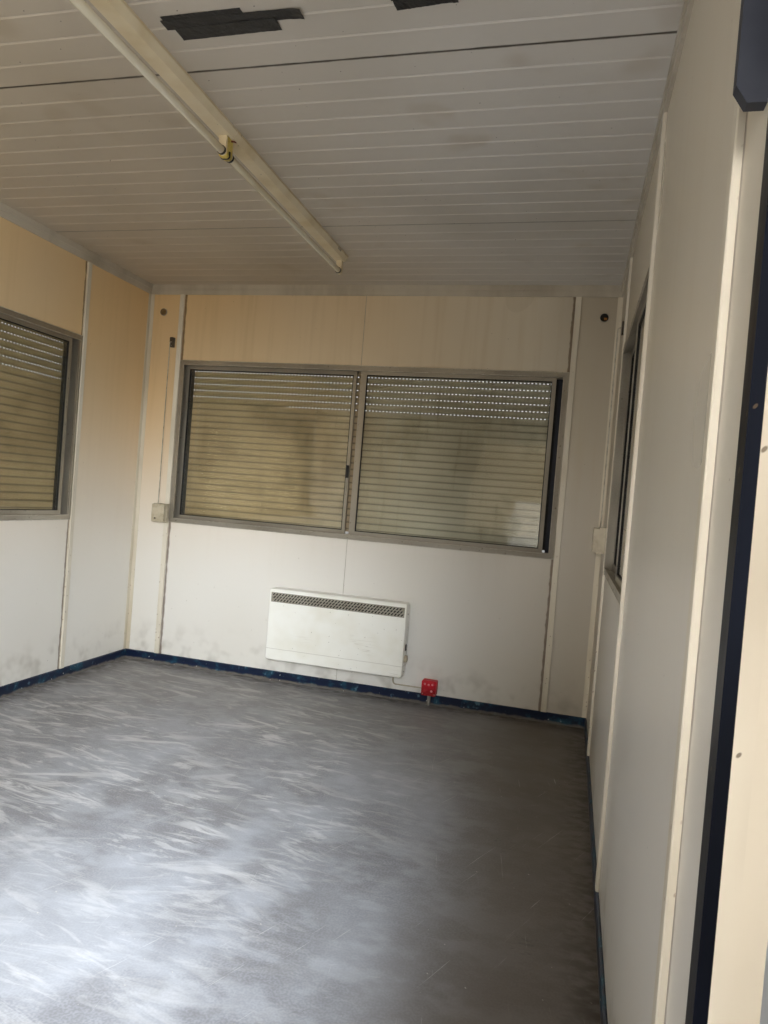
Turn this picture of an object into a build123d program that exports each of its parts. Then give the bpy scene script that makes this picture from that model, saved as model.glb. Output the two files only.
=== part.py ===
import os
from math import cos, radians, sin
from build123d import *

# Portable site cabin, 6 m class, seen from inside in the photograph.
# X runs across the cabin, Y along it towards the end wall with the wide window, Z up.
# The origin is the middle of the underside of the steel base. Everything is in millimetres.

# Room
inner_width = 2760
inner_length = 5800
inner_height = 2300
end_corner_width = 220
side_panel_count = 5
wall_thickness = 50
panel_gap = 4
panel_seam_gap = 3

# Steel frame
frame_projection = 70
rail_width = 120
base_rail_height = 150
roof_rail_height = 160
rail_sheet = 4
post_leg = 150
post_sheet = 4
corner_block_length = 150
block_bend = 6
lug_head_radius = 42
lug_hole_radius = 25
lug_rise = 44
lug_thickness = 16

# Base
joist_width = 50
joist_height = 96
joist_pitch = 410
joist_sheet = 3
joist_pocket_gap = 50
centre_beam_width = 100
floor_board_thickness = 19
floor_covering_thickness = 4
fork_pocket_width = 260
fork_pocket_height = 90
fork_pocket_sheet = 5
fork_pocket_spacing = 2050
fork_pocket_lift = 20

# Roof and ceiling
ceiling_thickness = 40
ceiling_bearing = 40
ceiling_first_width = 857
ceiling_module = 1150
ceiling_joint = 3
ceiling_rib_count = 12
ceiling_groove_width = 10
ceiling_groove_depth = 3
roof_joist_height = 66
roof_joist_width = 50
roof_joist_pitch = 1100
roof_sheet_thickness = 2
roof_rib_height = 32
roof_rib_pitch = 210
roof_rib_top = 40
roof_rib_foot = 90
roof_sheet_clearance = 3

# Joint strips, trims and floor edge
joint_flange_width = 30
joint_flange = 3
joint_strip_depth = 10
joint_strip_bevel = 2
cornice_height = 58
cornice_depth = 14
cornice_step = 5
cornice_step_height = 29
skirting_height = 55
skirting_thickness = 8
skirting_bevel = 4
trim_gap = 1
corner_trim_leg = 25
corner_trim_thickness = 2

# Windows, seen from inside
window_sill_height = 862
window_height = 986
window_flange = 6
window_overlap = 12
window_side_gap = 1
window_frame_face = 29
window_lip = 6
window_outer_lip = 4
window_glide = 1
window_tuck = 12
window_sill_drop = 16
window_sill_reach = 42
sash_face = 32
sash_depth = 18
sash_slide = 45
sash_pull_face = 21
meeting_offset = 14.5
meeting_gap = 31
meeting_face_left = 18
meeting_face_right = 35
glass_thickness = 5
latch_width = 14
latch_height = 72
latch_depth = 12
latch_height_above_floor = 1247

# Roller shutters
shutter_slat_pitch = 38
shutter_slat_depth = 9
shutter_link = 6
shutter_link_depth = 3
shutter_slat_bevel = 4
shutter_slat_gap = 1
shutter_bottom_bar = 52
shutter_bar_depth = 13
shutter_lift = 12
shutter_guide_width = 52
shutter_guide_depth = 28
shutter_groove_depth = 16
shutter_groove_width = 40
shutter_side_clearance = 1
shutter_box_height = 160
shutter_box_depth = 150
shutter_box_chamfer = 45
shutter_box_overhang = 70
winder_width = 90
winder_height = 114
winder_depth = 64
winder_cover_depth = 27
winder_cover_inset = 3
winder_offset = 27
winder_strip_gap = 1
winder_corner = 6
winder_edge = 4
back_winder_base = 857
left_winder_base = 857
right_winder_base = 948
cord_guide_width = 26
cord_guide_height = 60
cord_guide_depth = 18
cord_guide_drop = 379
cord_guide_offset = 46
winder_cord_radius = 2.5
winder_cord_depth = 34
winder_cord_bend = 10

# Door in the right wall
door_clear_width = 800
door_head_drop = 250
door_stop = 12
door_flange = 2
door_flange_reach = 34
door_flange_overlap = 14
door_outer_flange_overlap = 30
door_inner_depth = 32
door_frame_depth = 62
door_sill_height = 12
door_sill_stop = 24
door_clearance = 5
door_leaf_thickness = 32
door_edge_width = 30
door_skin_recess = 1
door_open_angle = 90
hinge_radius = 8
hinge_pin_radius = 4
hinge_pin_clearance = 0.3
hinge_half_height = 48
hinge_gap = 0.5
hinge_axis_offset = 13
hinge_plate_width = 34
hinge_plate_thickness = 3
hinge_inset = 230
handle_height = 1020
handle_backset = 62
handle_plate_width = 38
handle_plate_height = 220
handle_plate_drop = 44
handle_plate_thickness = 6
handle_neck_radius = 9
handle_reach = 46
handle_length = 120
handle_radius = 8
handle_lever_height = 21

# Dark cable trunking beside the door
trunking_width = 18
trunking_depth = 32
trunking_door_gap = 16
trunking_base = 1567
trunking_chamfer_depth = 12
trunking_chamfer_height = 19

# Heater, socket, lead and light
heater_position = 976
heater_width = 804
heater_height = 405
heater_base = 145
heater_depth = 78
heater_standoff = 22
heater_corner = 14
heater_edge = 5
bracket_width = 60
bracket_spacing = 558
bracket_height = 220
grille_width = 782
grille_height = 55
grille_below_top = 21
grille_thickness = 4
grille_recess = 18
grille_rows = 3
grille_slot_pitch = 18.6
grille_slot_width = 9
grille_slot_height = 13
grille_slot_slant = 11
knob_radius = 20
knob_depth = 14
knob_chamfer = 2
knob_height = 100
socket_gap = 104
socket_size = 82
socket_base = 58
socket_depth = 46
socket_corner = 8
socket_ring = 26
socket_ring_height = 5
conduit_radius = 9
lead_radius = 3.5
lead_exit_inset = 60
lead_drop = 51
lead_bend = 18
light_count = 4
light_end_gap = 476
light_gap = 2
light_tray_width = 76
light_tray_height = 28
light_tray_edge = 14
light_tray_rim = 9
light_tube_radius = 13
light_tube_drop = 78
light_holder_length = 24
light_holder_width = 28
vent_radius = 22
vent_lip = 4
vent_depth = 6
vent_recess = 3
vent_drop = 165
vent_left_inset = 96
vent_right_inset = 85

# Places that follow from the sizes above
half_width = inner_width / 2
half_length = inner_length / 2
wall_outer_x = half_width + wall_thickness
wall_outer_y = half_length + wall_thickness
frame_x = wall_outer_x + frame_projection
frame_y = wall_outer_y + frame_projection
rail_inner_x = frame_x - rail_width
rail_inner_y = frame_y - rail_width
floor_level = base_rail_height
ceiling_level = floor_level + inner_height
roof_rail_base = ceiling_level - rail_sheet
roof_rail_top = roof_rail_base + roof_rail_height
panel_height = roof_rail_base - floor_level
block_y = frame_y - corner_block_length
floor_board_level = base_rail_height - floor_covering_thickness
joist_top = floor_board_level - floor_board_thickness
window_hole_base = window_sill_height + window_overlap
window_hole_top = window_sill_height + window_height - window_overlap
mid_gap = panel_gap / 2
seam = panel_seam_gap / 2

# Wall planes: local x runs to the right as seen from inside, y up, z into the room
back_wall = Plane(origin=(-half_width, half_length, floor_level), x_dir=(1, 0, 0), z_dir=(0, -1, 0))
front_wall = Plane(origin=(half_width, -half_length, floor_level), x_dir=(-1, 0, 0), z_dir=(0, 1, 0))
right_wall = Plane(origin=(half_width, half_length, floor_level), x_dir=(0, -1, 0), z_dir=(-1, 0, 0))
left_wall = Plane(origin=(-half_width, -half_length, floor_level), x_dir=(0, 1, 0), z_dir=(1, 0, 0))

# Joints between panels, along each wall
end_joints = (end_corner_width, inner_width - end_corner_width)
end_seam = inner_width / 2
side_module = inner_length / side_panel_count
side_grid = [side_module * (number + 1 / 2) for number in range(side_panel_count)]
left_window_joints = (side_grid[2], side_grid[4])
left_seam = side_grid[3]
right_window_joints = (side_grid[0], side_grid[1])
door_joints = (side_grid[2], side_grid[3])

os.makedirs("parts", exist_ok=True)


def keep(part, name):
    """Label a finished piece and write it under its own name."""
    part.label = name
    export_step(part, "parts/" + name + ".step")


def section_across(plane, place, depth):
    """Plane for a section of something that runs along a wall: x points outwards, y up."""
    origin = plane.from_local_coords((place, 0, depth))
    return Plane(origin=origin, x_dir=-plane.z_dir, z_dir=plane.x_dir)


def wall_slab(plane, bays):
    """Flat sandwich panels, one solid for each bay (start, end, base, top) of a wall."""
    with BuildPart() as slab:
        with BuildSketch(plane):
            for start, end, base, top in bays:
                with Locations(((start + end) / 2, (base + top) / 2)):
                    Rectangle(end - start, top - base)
        extrude(amount=-wall_thickness)
    return slab.part


def joint_strip(plane, places, base, top):
    """H-shaped joint profiles: a web in the gap and a flange on each face of the wall."""
    length = panel_height
    with BuildPart() as strips:
        with BuildSketch(plane):
            for place in places:
                with Locations((place, length / 2)):
                    Rectangle(panel_gap, length)
        extrude(amount=-wall_thickness)
        with BuildSketch(plane):
            for place in places:
                with Locations((place, (base + top) / 2)):
                    Rectangle(joint_flange_width, top - base)
        extrude(amount=joint_strip_depth - joint_strip_bevel)
        with BuildSketch(plane.offset(joint_strip_depth - joint_strip_bevel)):
            for place in places:
                with Locations((place, (base + top) / 2)):
                    Rectangle(joint_flange_width, top - base)
        extrude(amount=joint_strip_bevel, taper=45)
        with BuildSketch(plane.offset(-wall_thickness)):
            for place in places:
                with Locations((place, length / 2)):
                    Rectangle(joint_flange_width, length)
        extrude(amount=-joint_flange)
    return strips.part


# Base frame: rolled channels, open to the inside, cut for the fork pockets
with BuildPart() as base_side_rails:
    with BuildSketch(Plane.XZ.offset(-block_y)):
        for side in (-1, 1):
            with Locations((side * (frame_x - rail_width / 2), base_rail_height / 2)):
                Rectangle(rail_width, base_rail_height)
            hollow_middle = side * (frame_x - rail_width / 2 - rail_sheet)
            with Locations((hollow_middle, base_rail_height / 2)):
                Rectangle(rail_width, base_rail_height - 2 * rail_sheet, mode=Mode.SUBTRACT)
    extrude(amount=2 * block_y)
    with BuildSketch(Plane.YZ):
        pocket_middle = fork_pocket_lift + fork_pocket_height / 2
        for side in (-1, 1):
            with Locations((side * fork_pocket_spacing / 2, pocket_middle)):
                Rectangle(fork_pocket_width, fork_pocket_height)
    extrude(amount=frame_x, both=True, mode=Mode.SUBTRACT)
keep(base_side_rails.part, "base_side_rails")

with BuildPart() as base_end_rails:
    with BuildSketch(Plane.YZ.offset(-rail_inner_x)):
        for side in (-1, 1):
            with Locations((side * (frame_y - rail_width / 2), base_rail_height / 2)):
                Rectangle(rail_width, base_rail_height)
            hollow_middle = side * (frame_y - rail_width / 2 - rail_sheet)
            with Locations((hollow_middle, base_rail_height / 2)):
                Rectangle(rail_width, base_rail_height - 2 * rail_sheet, mode=Mode.SUBTRACT)
    extrude(amount=2 * rail_inner_x)
keep(base_end_rails.part, "base_end_rails")


# Corner blocks: closed square ends where the rails of the base and of the roof meet
block_middle_x = frame_x - rail_width / 2
block_middle_y = frame_y - corner_block_length / 2
block_places = [(x * block_middle_x, y * block_middle_y) for x in (-1, 1) for y in (-1, 1)]
with BuildPart() as corner_blocks:
    for block_base, block_height in ((0, base_rail_height), (roof_rail_base, roof_rail_height)):
        with BuildSketch(Plane.XY.offset(block_base)):
            with Locations(*block_places):
                RectangleRounded(rail_width, corner_block_length, block_bend)
        extrude(amount=block_height)
keep(corner_blocks.part, "corner_blocks")

# Lifting lugs: drilled plates with a round head, one on each upper corner block
lug_head_level = roof_rail_top + lug_rise
with BuildPart() as lifting_lugs:
    with BuildSketch(Plane.XZ.offset(-block_middle_y)):
        for side in (-1, 1):
            with Locations((side * block_middle_x, lug_head_level)):
                Circle(lug_head_radius)
            with Locations((side * block_middle_x, (roof_rail_top + lug_head_level) / 2)):
                Rectangle(2 * lug_head_radius, lug_rise)
        for side in (-1, 1):
            with Locations((side * block_middle_x, lug_head_level)):
                Circle(lug_hole_radius, mode=Mode.SUBTRACT)
    extrude(amount=lug_thickness / 2, both=True)
    mirror(about=Plane.XZ)
keep(lifting_lugs.part, "lifting_lugs")

# Fork pockets: tubes that cross the whole base
with BuildPart() as fork_pockets:
    with BuildSketch(Plane.YZ.offset(-frame_x)):
        for side in (-1, 1):
            with Locations((side * fork_pocket_spacing / 2, fork_pocket_lift + fork_pocket_height / 2)):
                Rectangle(fork_pocket_width, fork_pocket_height)
                inner_pocket_width = fork_pocket_width - 2 * fork_pocket_sheet
                inner_pocket_height = fork_pocket_height - 2 * fork_pocket_sheet
                Rectangle(inner_pocket_width, inner_pocket_height, mode=Mode.SUBTRACT)
    extrude(amount=2 * frame_x)
keep(fork_pockets.part, "fork_pockets")

# Floor: joists from web to web, a board and the sheet covering
pocket_reach = (fork_pocket_width + joist_width) / 2 + joist_pocket_gap
inner_bay = fork_pocket_spacing / 2 - pocket_reach
outer_bay_start = fork_pocket_spacing / 2 + pocket_reach
inner_joist_count = round(inner_bay / joist_pitch)
outer_joist_count = round((rail_inner_y - outer_bay_start) / joist_pitch)
outer_joist_pitch = (rail_inner_y - outer_bay_start) / outer_joist_count
joist_places = []
for side in (-1, 1):
    for number in range(inner_joist_count):
        joist_places.append(side * inner_bay * (number + 1) / inner_joist_count)
    for number in range(outer_joist_count):
        joist_places.append(side * (outer_bay_start + number * outer_joist_pitch))
with BuildPart() as floor_joists:
    with BuildSketch(Plane.YZ.offset(-(frame_x - rail_sheet))):
        for place in joist_places:
            with Locations((place, joist_top - joist_height / 2)):
                Rectangle(joist_width, joist_height)
            with Locations((place + joist_sheet, joist_top - joist_height / 2)):
                Rectangle(joist_width, joist_height - 2 * joist_sheet, mode=Mode.SUBTRACT)
    extrude(amount=2 * (frame_x - rail_sheet))
keep(floor_joists.part, "floor_joists")

# A deeper box beam across the middle stands on the ground with the rails
with BuildPart() as centre_beam:
    with BuildSketch(Plane.YZ.offset(-rail_inner_x)):
        with Locations((0, joist_top / 2)):
            Rectangle(centre_beam_width, joist_top)
            Rectangle(centre_beam_width - 2 * rail_sheet, joist_top - 2 * rail_sheet, mode=Mode.SUBTRACT)
    extrude(amount=2 * rail_inner_x)
keep(centre_beam.part, "centre_beam")

with BuildPart() as floor_board:
    with BuildSketch(Plane.XY.offset(joist_top)):
        Rectangle(2 * rail_inner_x, 2 * rail_inner_y)
    extrude(amount=floor_board_thickness)
keep(floor_board.part, "floor_board")

with BuildPart() as floor_covering:
    with BuildSketch(Plane.XY.offset(floor_board_level)):
        Rectangle(2 * rail_inner_x, 2 * rail_inner_y)
    extrude(amount=floor_covering_thickness)
keep(floor_covering.part, "floor_covering")

# Roof frame: channels open to the inside, whose lower flange carries the ceiling
with BuildPart() as roof_side_rails:
    with BuildSketch(Plane.XZ.offset(-block_y)):
        rail_middle = roof_rail_base + roof_rail_height / 2
        for side in (-1, 1):
            with Locations((side * (frame_x - rail_width / 2), rail_middle)):
                Rectangle(rail_width, roof_rail_height)
            with Locations((side * (frame_x - rail_width / 2 - rail_sheet), rail_middle)):
                Rectangle(rail_width, roof_rail_height - 2 * rail_sheet, mode=Mode.SUBTRACT)
    extrude(amount=2 * block_y)
keep(roof_side_rails.part, "roof_side_rails")

with BuildPart() as roof_end_rails:
    with BuildSketch(Plane.YZ.offset(-rail_inner_x)):
        for side in (-1, 1):
            with Locations((side * (frame_y - rail_width / 2), rail_middle)):
                Rectangle(rail_width, roof_rail_height)
            with Locations((side * (frame_y - rail_width / 2 - rail_sheet), rail_middle)):
                Rectangle(rail_width, roof_rail_height - 2 * rail_sheet, mode=Mode.SUBTRACT)
    extrude(amount=2 * rail_inner_x)
keep(roof_end_rails.part, "roof_end_rails")

# Corner posts: L-shaped boxes folded from sheet, outside the wall panels
long_leg_x = frame_x - post_leg / 2
short_leg_x = frame_x - frame_projection / 2
long_leg_y = frame_y - post_leg / 2
short_leg_y = frame_y - frame_projection / 2
with BuildPart() as corner_posts:
    with BuildSketch(Plane.XY.offset(floor_level)):
        for side_x in (-1, 1):
            for side_y in (-1, 1):
                with Locations((side_x * long_leg_x, side_y * short_leg_y)):
                    Rectangle(post_leg, frame_projection)
                with Locations((side_x * short_leg_x, side_y * long_leg_y)):
                    Rectangle(frame_projection, post_leg)
    extrude(amount=panel_height)
    outer_corners = corner_posts.edges().filter_by(Axis.Z).group_by(
        lambda edge: round(abs(edge.center().X) + abs(edge.center().Y), 3))[-1]
    fillet(outer_corners, block_bend)
    with BuildSketch(Plane.XY.offset(floor_level)):
        hollow_long = post_leg - 2 * post_sheet
        hollow_short = frame_projection - 2 * post_sheet
        for side_x in (-1, 1):
            for side_y in (-1, 1):
                with Locations((side_x * long_leg_x, side_y * short_leg_y)):
                    Rectangle(hollow_long, hollow_short)
                with Locations((side_x * short_leg_x, side_y * long_leg_y)):
                    Rectangle(hollow_short, hollow_long)
    extrude(amount=panel_height, mode=Mode.SUBTRACT)
keep(corner_posts.part, "corner_posts")

# Ceiling: ribbed sandwich sheets laid across the cabin, the first one cut to fit
ceiling_edges = [half_length]
next_edge = half_length - ceiling_first_width
while next_edge > -half_length + ceiling_module / 4:
    ceiling_edges.append(next_edge)
    next_edge = next_edge - ceiling_module
ceiling_edges.append(-half_length)
groove_pitch = ceiling_module / ceiling_rib_count
ceiling_reach = half_width + ceiling_bearing
ceiling_end_reach = half_length + ceiling_bearing
last_edge = len(ceiling_edges) - 1
with BuildPart() as ceiling_panels:
    with BuildSketch(Plane.YZ.offset(-ceiling_reach)):
        for number in range(last_edge):
            far_edge = ceiling_edges[number] - ceiling_joint / 2
            near_edge = ceiling_edges[number + 1] + ceiling_joint / 2
            if number == 0:
                far_edge = ceiling_end_reach
            if number == last_edge - 1:
                near_edge = -ceiling_end_reach
            with Locations(((far_edge + near_edge) / 2, ceiling_level + ceiling_thickness / 2)):
                Rectangle(far_edge - near_edge, ceiling_thickness)
            groove = ceiling_edges[number + 1] + groove_pitch
            while groove < min(ceiling_edges[number], half_length - cornice_depth) - groove_pitch / 2:
                with BuildLine():
                    Polyline(
                        (groove - ceiling_groove_width / 2, ceiling_level),
                        (groove, ceiling_level + ceiling_groove_depth),
                        (groove + ceiling_groove_width / 2, ceiling_level),
                        close=True)
                make_face(mode=Mode.SUBTRACT)
                groove = groove + groove_pitch
    extrude(amount=2 * ceiling_reach)
    with BuildSketch(Plane.XY.offset(ceiling_level)):
        with Locations(*block_places):
            Rectangle(rail_width, corner_block_length)
    extrude(amount=ceiling_thickness, mode=Mode.SUBTRACT)
keep(ceiling_panels.part, "ceiling_panels")

# Roof joists between the rail webs, and the ribbed roof sheet on them
roof_joist_base = ceiling_level + ceiling_thickness
roof_joist_count = int((rail_inner_y - roof_joist_width) / roof_joist_pitch)
with BuildPart() as roof_joists:
    with BuildSketch(Plane.YZ.offset(-(frame_x - rail_sheet))):
        for number in range(-roof_joist_count, roof_joist_count + 1):
            with Locations((number * roof_joist_pitch, roof_joist_base + roof_joist_height / 2)):
                Rectangle(roof_joist_width, roof_joist_height)
            open_side = number * roof_joist_pitch + joist_sheet
            with Locations((open_side, roof_joist_base + roof_joist_height / 2)):
                Rectangle(roof_joist_width, roof_joist_height - 2 * joist_sheet, mode=Mode.SUBTRACT)
    extrude(amount=2 * (frame_x - rail_sheet))
keep(roof_joists.part, "roof_joists")

roof_sheet_base = roof_joist_base + roof_joist_height
roof_sheet_end = frame_y - rail_sheet - roof_sheet_clearance
roof_rib_count = int(2 * (rail_inner_y - roof_rib_foot) / roof_rib_pitch)
first_rib = -(roof_rib_count - 1) * roof_rib_pitch / 2
profile = [(-roof_sheet_end, roof_sheet_base)]
for number in range(roof_rib_count):
    rib = first_rib + number * roof_rib_pitch
    profile.append((rib - roof_rib_foot / 2, roof_sheet_base))
    profile.append((rib - roof_rib_top / 2, roof_sheet_base + roof_rib_height))
    profile.append((rib + roof_rib_top / 2, roof_sheet_base + roof_rib_height))
    profile.append((rib + roof_rib_foot / 2, roof_sheet_base))
profile.append((roof_sheet_end, roof_sheet_base))
raised = [(place, height + roof_sheet_thickness) for place, height in reversed(profile)]
roof_sheet_reach = frame_x - rail_sheet - roof_sheet_clearance
with BuildPart() as roof_sheet:
    with BuildSketch(Plane.YZ.offset(-roof_sheet_reach)):
        with BuildLine():
            Polyline(*(profile + raised), close=True)
        make_face()
    extrude(amount=2 * roof_sheet_reach)
    with BuildSketch(Plane.XY.offset(roof_sheet_base)):
        with Locations(*block_places):
            Rectangle(rail_width + 2 * roof_sheet_clearance, corner_block_length + 2 * roof_sheet_clearance)
    extrude(amount=roof_rib_height + roof_sheet_thickness, mode=Mode.SUBTRACT)
keep(roof_sheet.part, "roof_sheet")

# Wall panels: full height beside the openings, sill and head panels at a window
end_left = -wall_thickness
end_right = inner_width + wall_thickness


def window_bays(start, end, seam_place):
    """Sill and head panels between two joints, with a seam in the middle where one is given."""
    edges = [start + mid_gap, end - mid_gap]
    if seam_place is not None:
        edges = [start + mid_gap, seam_place - seam, seam_place + seam, end - mid_gap]
    sills = []
    heads = []
    for number in range(0, len(edges), 2):
        sills.append((edges[number], edges[number + 1], 0, window_hole_base))
        heads.append((edges[number], edges[number + 1], window_hole_top, panel_height))
    return sills, heads


back_sills, back_heads = window_bays(end_joints[0], end_joints[1], end_seam)
keep(wall_slab(back_wall, [
    (end_left, end_joints[0] - mid_gap, 0, panel_height),
    (end_joints[1] + mid_gap, end_right, 0, panel_height)]), "back_wall_side_panels")
keep(wall_slab(back_wall, back_sills + back_heads), "back_wall_window_panels")

keep(wall_slab(front_wall, [
    (end_left, end_joints[0] - mid_gap, 0, panel_height),
    (end_joints[0] + mid_gap, end_seam - mid_gap, 0, panel_height),
    (end_seam + mid_gap, end_joints[1] - mid_gap, 0, panel_height),
    (end_joints[1] + mid_gap, end_right, 0, panel_height)]), "front_wall_panels")

left_sills, left_heads = window_bays(left_window_joints[0], left_window_joints[1], left_seam)
keep(wall_slab(left_wall, [
    (0, side_grid[0] - mid_gap, 0, panel_height),
    (side_grid[0] + mid_gap, side_grid[1] - mid_gap, 0, panel_height),
    (side_grid[1] + mid_gap, side_grid[2] - mid_gap, 0, panel_height),
    (side_grid[4] + mid_gap, inner_length, 0, panel_height)]), "left_wall_panels")
keep(wall_slab(left_wall, left_sills + left_heads), "left_wall_window_panels")

right_sills, right_heads = window_bays(right_window_joints[0], right_window_joints[1], None)
keep(wall_slab(right_wall, [
    (0, side_grid[0] - mid_gap, 0, panel_height),
    (side_grid[1] + mid_gap, door_joints[0] - mid_gap, 0, panel_height),
    (door_joints[1] + mid_gap, side_grid[4] - mid_gap, 0, panel_height),
    (side_grid[4] + mid_gap, inner_length, 0, panel_height)]), "right_wall_panels")
keep(wall_slab(right_wall, right_sills + right_heads), "right_wall_window_panels")

# The door's panel is cut out for the frame, whose places follow from the clear opening
door_middle = (door_joints[0] + door_joints[1]) / 2
clear_start = door_middle - door_clear_width / 2
clear_end = door_middle + door_clear_width / 2
rebate_start = clear_start - door_stop
rebate_end = clear_end + door_stop
frame_start = clear_start - door_flange_reach + door_flange_overlap
frame_end = clear_end + door_flange_reach - door_flange_overlap
flange_start = clear_start - door_flange_reach
flange_end = clear_end + door_flange_reach
door_opening_height = inner_height - door_head_drop
rebate_top = door_opening_height + door_stop
door_frame_top = door_opening_height + door_flange_reach - door_flange_overlap
keep(wall_slab(right_wall, [
    (door_joints[0] + mid_gap, frame_start, 0, panel_height),
    (frame_end, door_joints[1] - mid_gap, 0, panel_height),
    (frame_start, frame_end, door_frame_top, panel_height)]), "door_panel")

# Joint strips stand proud of both faces, between the skirting and the cornice inside
strip_base = skirting_height
strip_top = inner_height - cornice_height
joint_places = (
    (back_wall, end_joints),
    (front_wall, (end_joints[0], end_seam, end_joints[1])),
    (left_wall, (side_grid[0], side_grid[1], side_grid[2], side_grid[4])),
    (right_wall, side_grid))
with BuildPart() as panel_joint_strips:
    for plane, places in joint_places:
        add(joint_strip(plane, places, strip_base, strip_top))
keep(panel_joint_strips.part, "panel_joint_strips")

# Cornice: a stepped profile under the ceiling, round the room
with BuildPart() as cornice:
    for plane, start, end in (
            (back_wall, 0, inner_width),
            (front_wall, 0, inner_width),
            (left_wall, cornice_depth + trim_gap, inner_length - cornice_depth - trim_gap),
            (right_wall, cornice_depth + trim_gap, inner_length - cornice_depth - trim_gap)):
        with BuildSketch(plane):
            with Locations(((start + end) / 2, inner_height - cornice_height / 2)):
                Rectangle(end - start, cornice_height)
        extrude(amount=cornice_depth - cornice_step)
        with BuildSketch(plane.offset(cornice_depth - cornice_step)):
            with Locations(((start + end) / 2, inner_height - cornice_step_height / 2)):
                Rectangle(end - start, cornice_step_height)
        extrude(amount=cornice_step)
keep(cornice.part, "cornice")

# Skirting: painted strip with a bevelled top edge, left out at the door
skirting_runs = (
    (back_wall, 0, inner_width),
    (front_wall, 0, inner_width),
    (left_wall, skirting_thickness + trim_gap, inner_length - skirting_thickness - trim_gap),
    (right_wall, skirting_thickness + trim_gap, flange_start),
    (right_wall, flange_end, inner_length - skirting_thickness - trim_gap))
with BuildPart() as skirting:
    for plane, start, end in skirting_runs:
        with BuildSketch(section_across(plane, start, 0)):
            with BuildLine():
                Polyline(
                    (0, 0),
                    (0, skirting_height),
                    (-(skirting_thickness - skirting_bevel), skirting_height),
                    (-skirting_thickness, skirting_height - skirting_bevel),
                    (-skirting_thickness, 0),
                    close=True)
            make_face()
        extrude(amount=end - start)
keep(skirting.part, "skirting")

# Corner trims: small angles that cover the meeting of two walls
with BuildPart() as corner_trims:
    with BuildSketch(Plane.XY.offset(floor_level + skirting_height)):
        for side_x in (-1, 1):
            for side_y in (-1, 1):
                with Locations((
                        side_x * (half_width - corner_trim_leg / 2),
                        side_y * (half_length - corner_trim_thickness / 2))):
                    Rectangle(corner_trim_leg, corner_trim_thickness)
                with Locations((
                        side_x * (half_width - corner_trim_thickness / 2),
                        side_y * (half_length - corner_trim_leg / 2))):
                    Rectangle(corner_trim_thickness, corner_trim_leg)
    extrude(amount=strip_top - strip_base)
keep(corner_trims.part, "corner_trims")


# Windows
flange_base = window_sill_height
flange_top = window_sill_height + window_height
window_clear_base = window_sill_height + window_frame_face
window_clear_top = flange_top - window_frame_face
window_middle = (flange_base + flange_top) / 2
window_side = joint_flange_width / 2 + window_side_gap
track_depth = wall_thickness - window_lip - window_outer_lip


def window_frame(plane, start, end):
    """Aluminium frame with a track between an inner and an outer lip, and a drip sill outside."""
    middle = (start + end) / 2
    flange_width = end - start - 2 * window_side
    clear_width = flange_width - 2 * window_frame_face
    clear_height = window_clear_top - window_clear_base
    with BuildPart() as frame:
        with BuildSketch(plane):
            with Locations((middle, window_middle)):
                Rectangle(end - start - panel_gap, window_hole_top - window_hole_base)
        extrude(amount=-wall_thickness)
        with BuildSketch(plane):
            with Locations((middle, window_middle)):
                Rectangle(flange_width, window_height)
        extrude(amount=window_flange)
        with BuildSketch(plane.offset(window_flange)):
            with Locations((middle, window_middle)):
                Rectangle(clear_width, clear_height)
        extrude(amount=-window_flange - wall_thickness, mode=Mode.SUBTRACT)
        with BuildSketch(plane.offset(-window_lip)):
            with Locations((middle, window_middle)):
                Rectangle(clear_width + 2 * window_tuck, clear_height + 2 * window_tuck)
        extrude(amount=-track_depth, mode=Mode.SUBTRACT)
        sill_width = end - start - 2 * (joint_flange_width / 2 + shutter_guide_width)
        with BuildSketch(section_across(plane, middle - sill_width / 2, -wall_thickness)):
            with BuildLine():
                Polyline(
                    (0, window_clear_base),
                    (window_sill_reach, window_clear_base - window_sill_drop / 2),
                    (window_sill_reach, window_clear_base - window_sill_drop),
                    (0, window_clear_base - window_sill_drop),
                    close=True)
            make_face()
        extrude(amount=sill_width)
    return frame.part


def sash_places(start, end):
    """Left and right sash, each as its two edges, the faces of its two stiles and its depth."""
    clear_start = start + window_side + window_frame_face - window_tuck + window_glide
    clear_end = end - window_side - window_frame_face + window_tuck - window_glide
    meeting = (start + end) / 2 - meeting_offset
    outer = -window_lip - track_depth + window_glide
    inner = -window_lip - window_glide - sash_depth
    return (
        (clear_start, meeting - meeting_gap / 2, sash_face, meeting_face_left, outer),
        (meeting + meeting_gap / 2, clear_end - sash_slide, meeting_face_right, sash_pull_face, inner))


def window_sashes(plane, start, end):
    """Two sliding sashes that stand a little apart, so that a gap shows between their stiles."""
    height = window_clear_top - window_clear_base + 2 * window_tuck
    with BuildPart() as sashes:
        for left, right, left_face, right_face, depth in sash_places(start, end):
            pane_width = right - left - left_face - right_face
            pane_middle = (left + left_face + right - right_face) / 2
            with BuildSketch(plane.offset(depth)):
                with Locations(((left + right) / 2, window_middle)):
                    Rectangle(right - left, height)
                with Locations((pane_middle, window_middle)):
                    Rectangle(pane_width, height - 2 * sash_face, mode=Mode.SUBTRACT)
            extrude(amount=sash_depth)
    return sashes.part


def window_glass(plane, start, end):
    """One pane in each sash."""
    height = window_clear_top - window_clear_base + 2 * window_tuck
    with BuildPart() as panes:
        for left, right, left_face, right_face, depth in sash_places(start, end):
            with BuildSketch(plane.offset(depth + sash_depth / 2 - glass_thickness / 2)):
                with Locations(((left + left_face + right - right_face) / 2, window_middle)):
                    Rectangle(right - left - left_face - right_face, height - 2 * sash_face)
            extrude(amount=glass_thickness)
    return panes.part


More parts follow.
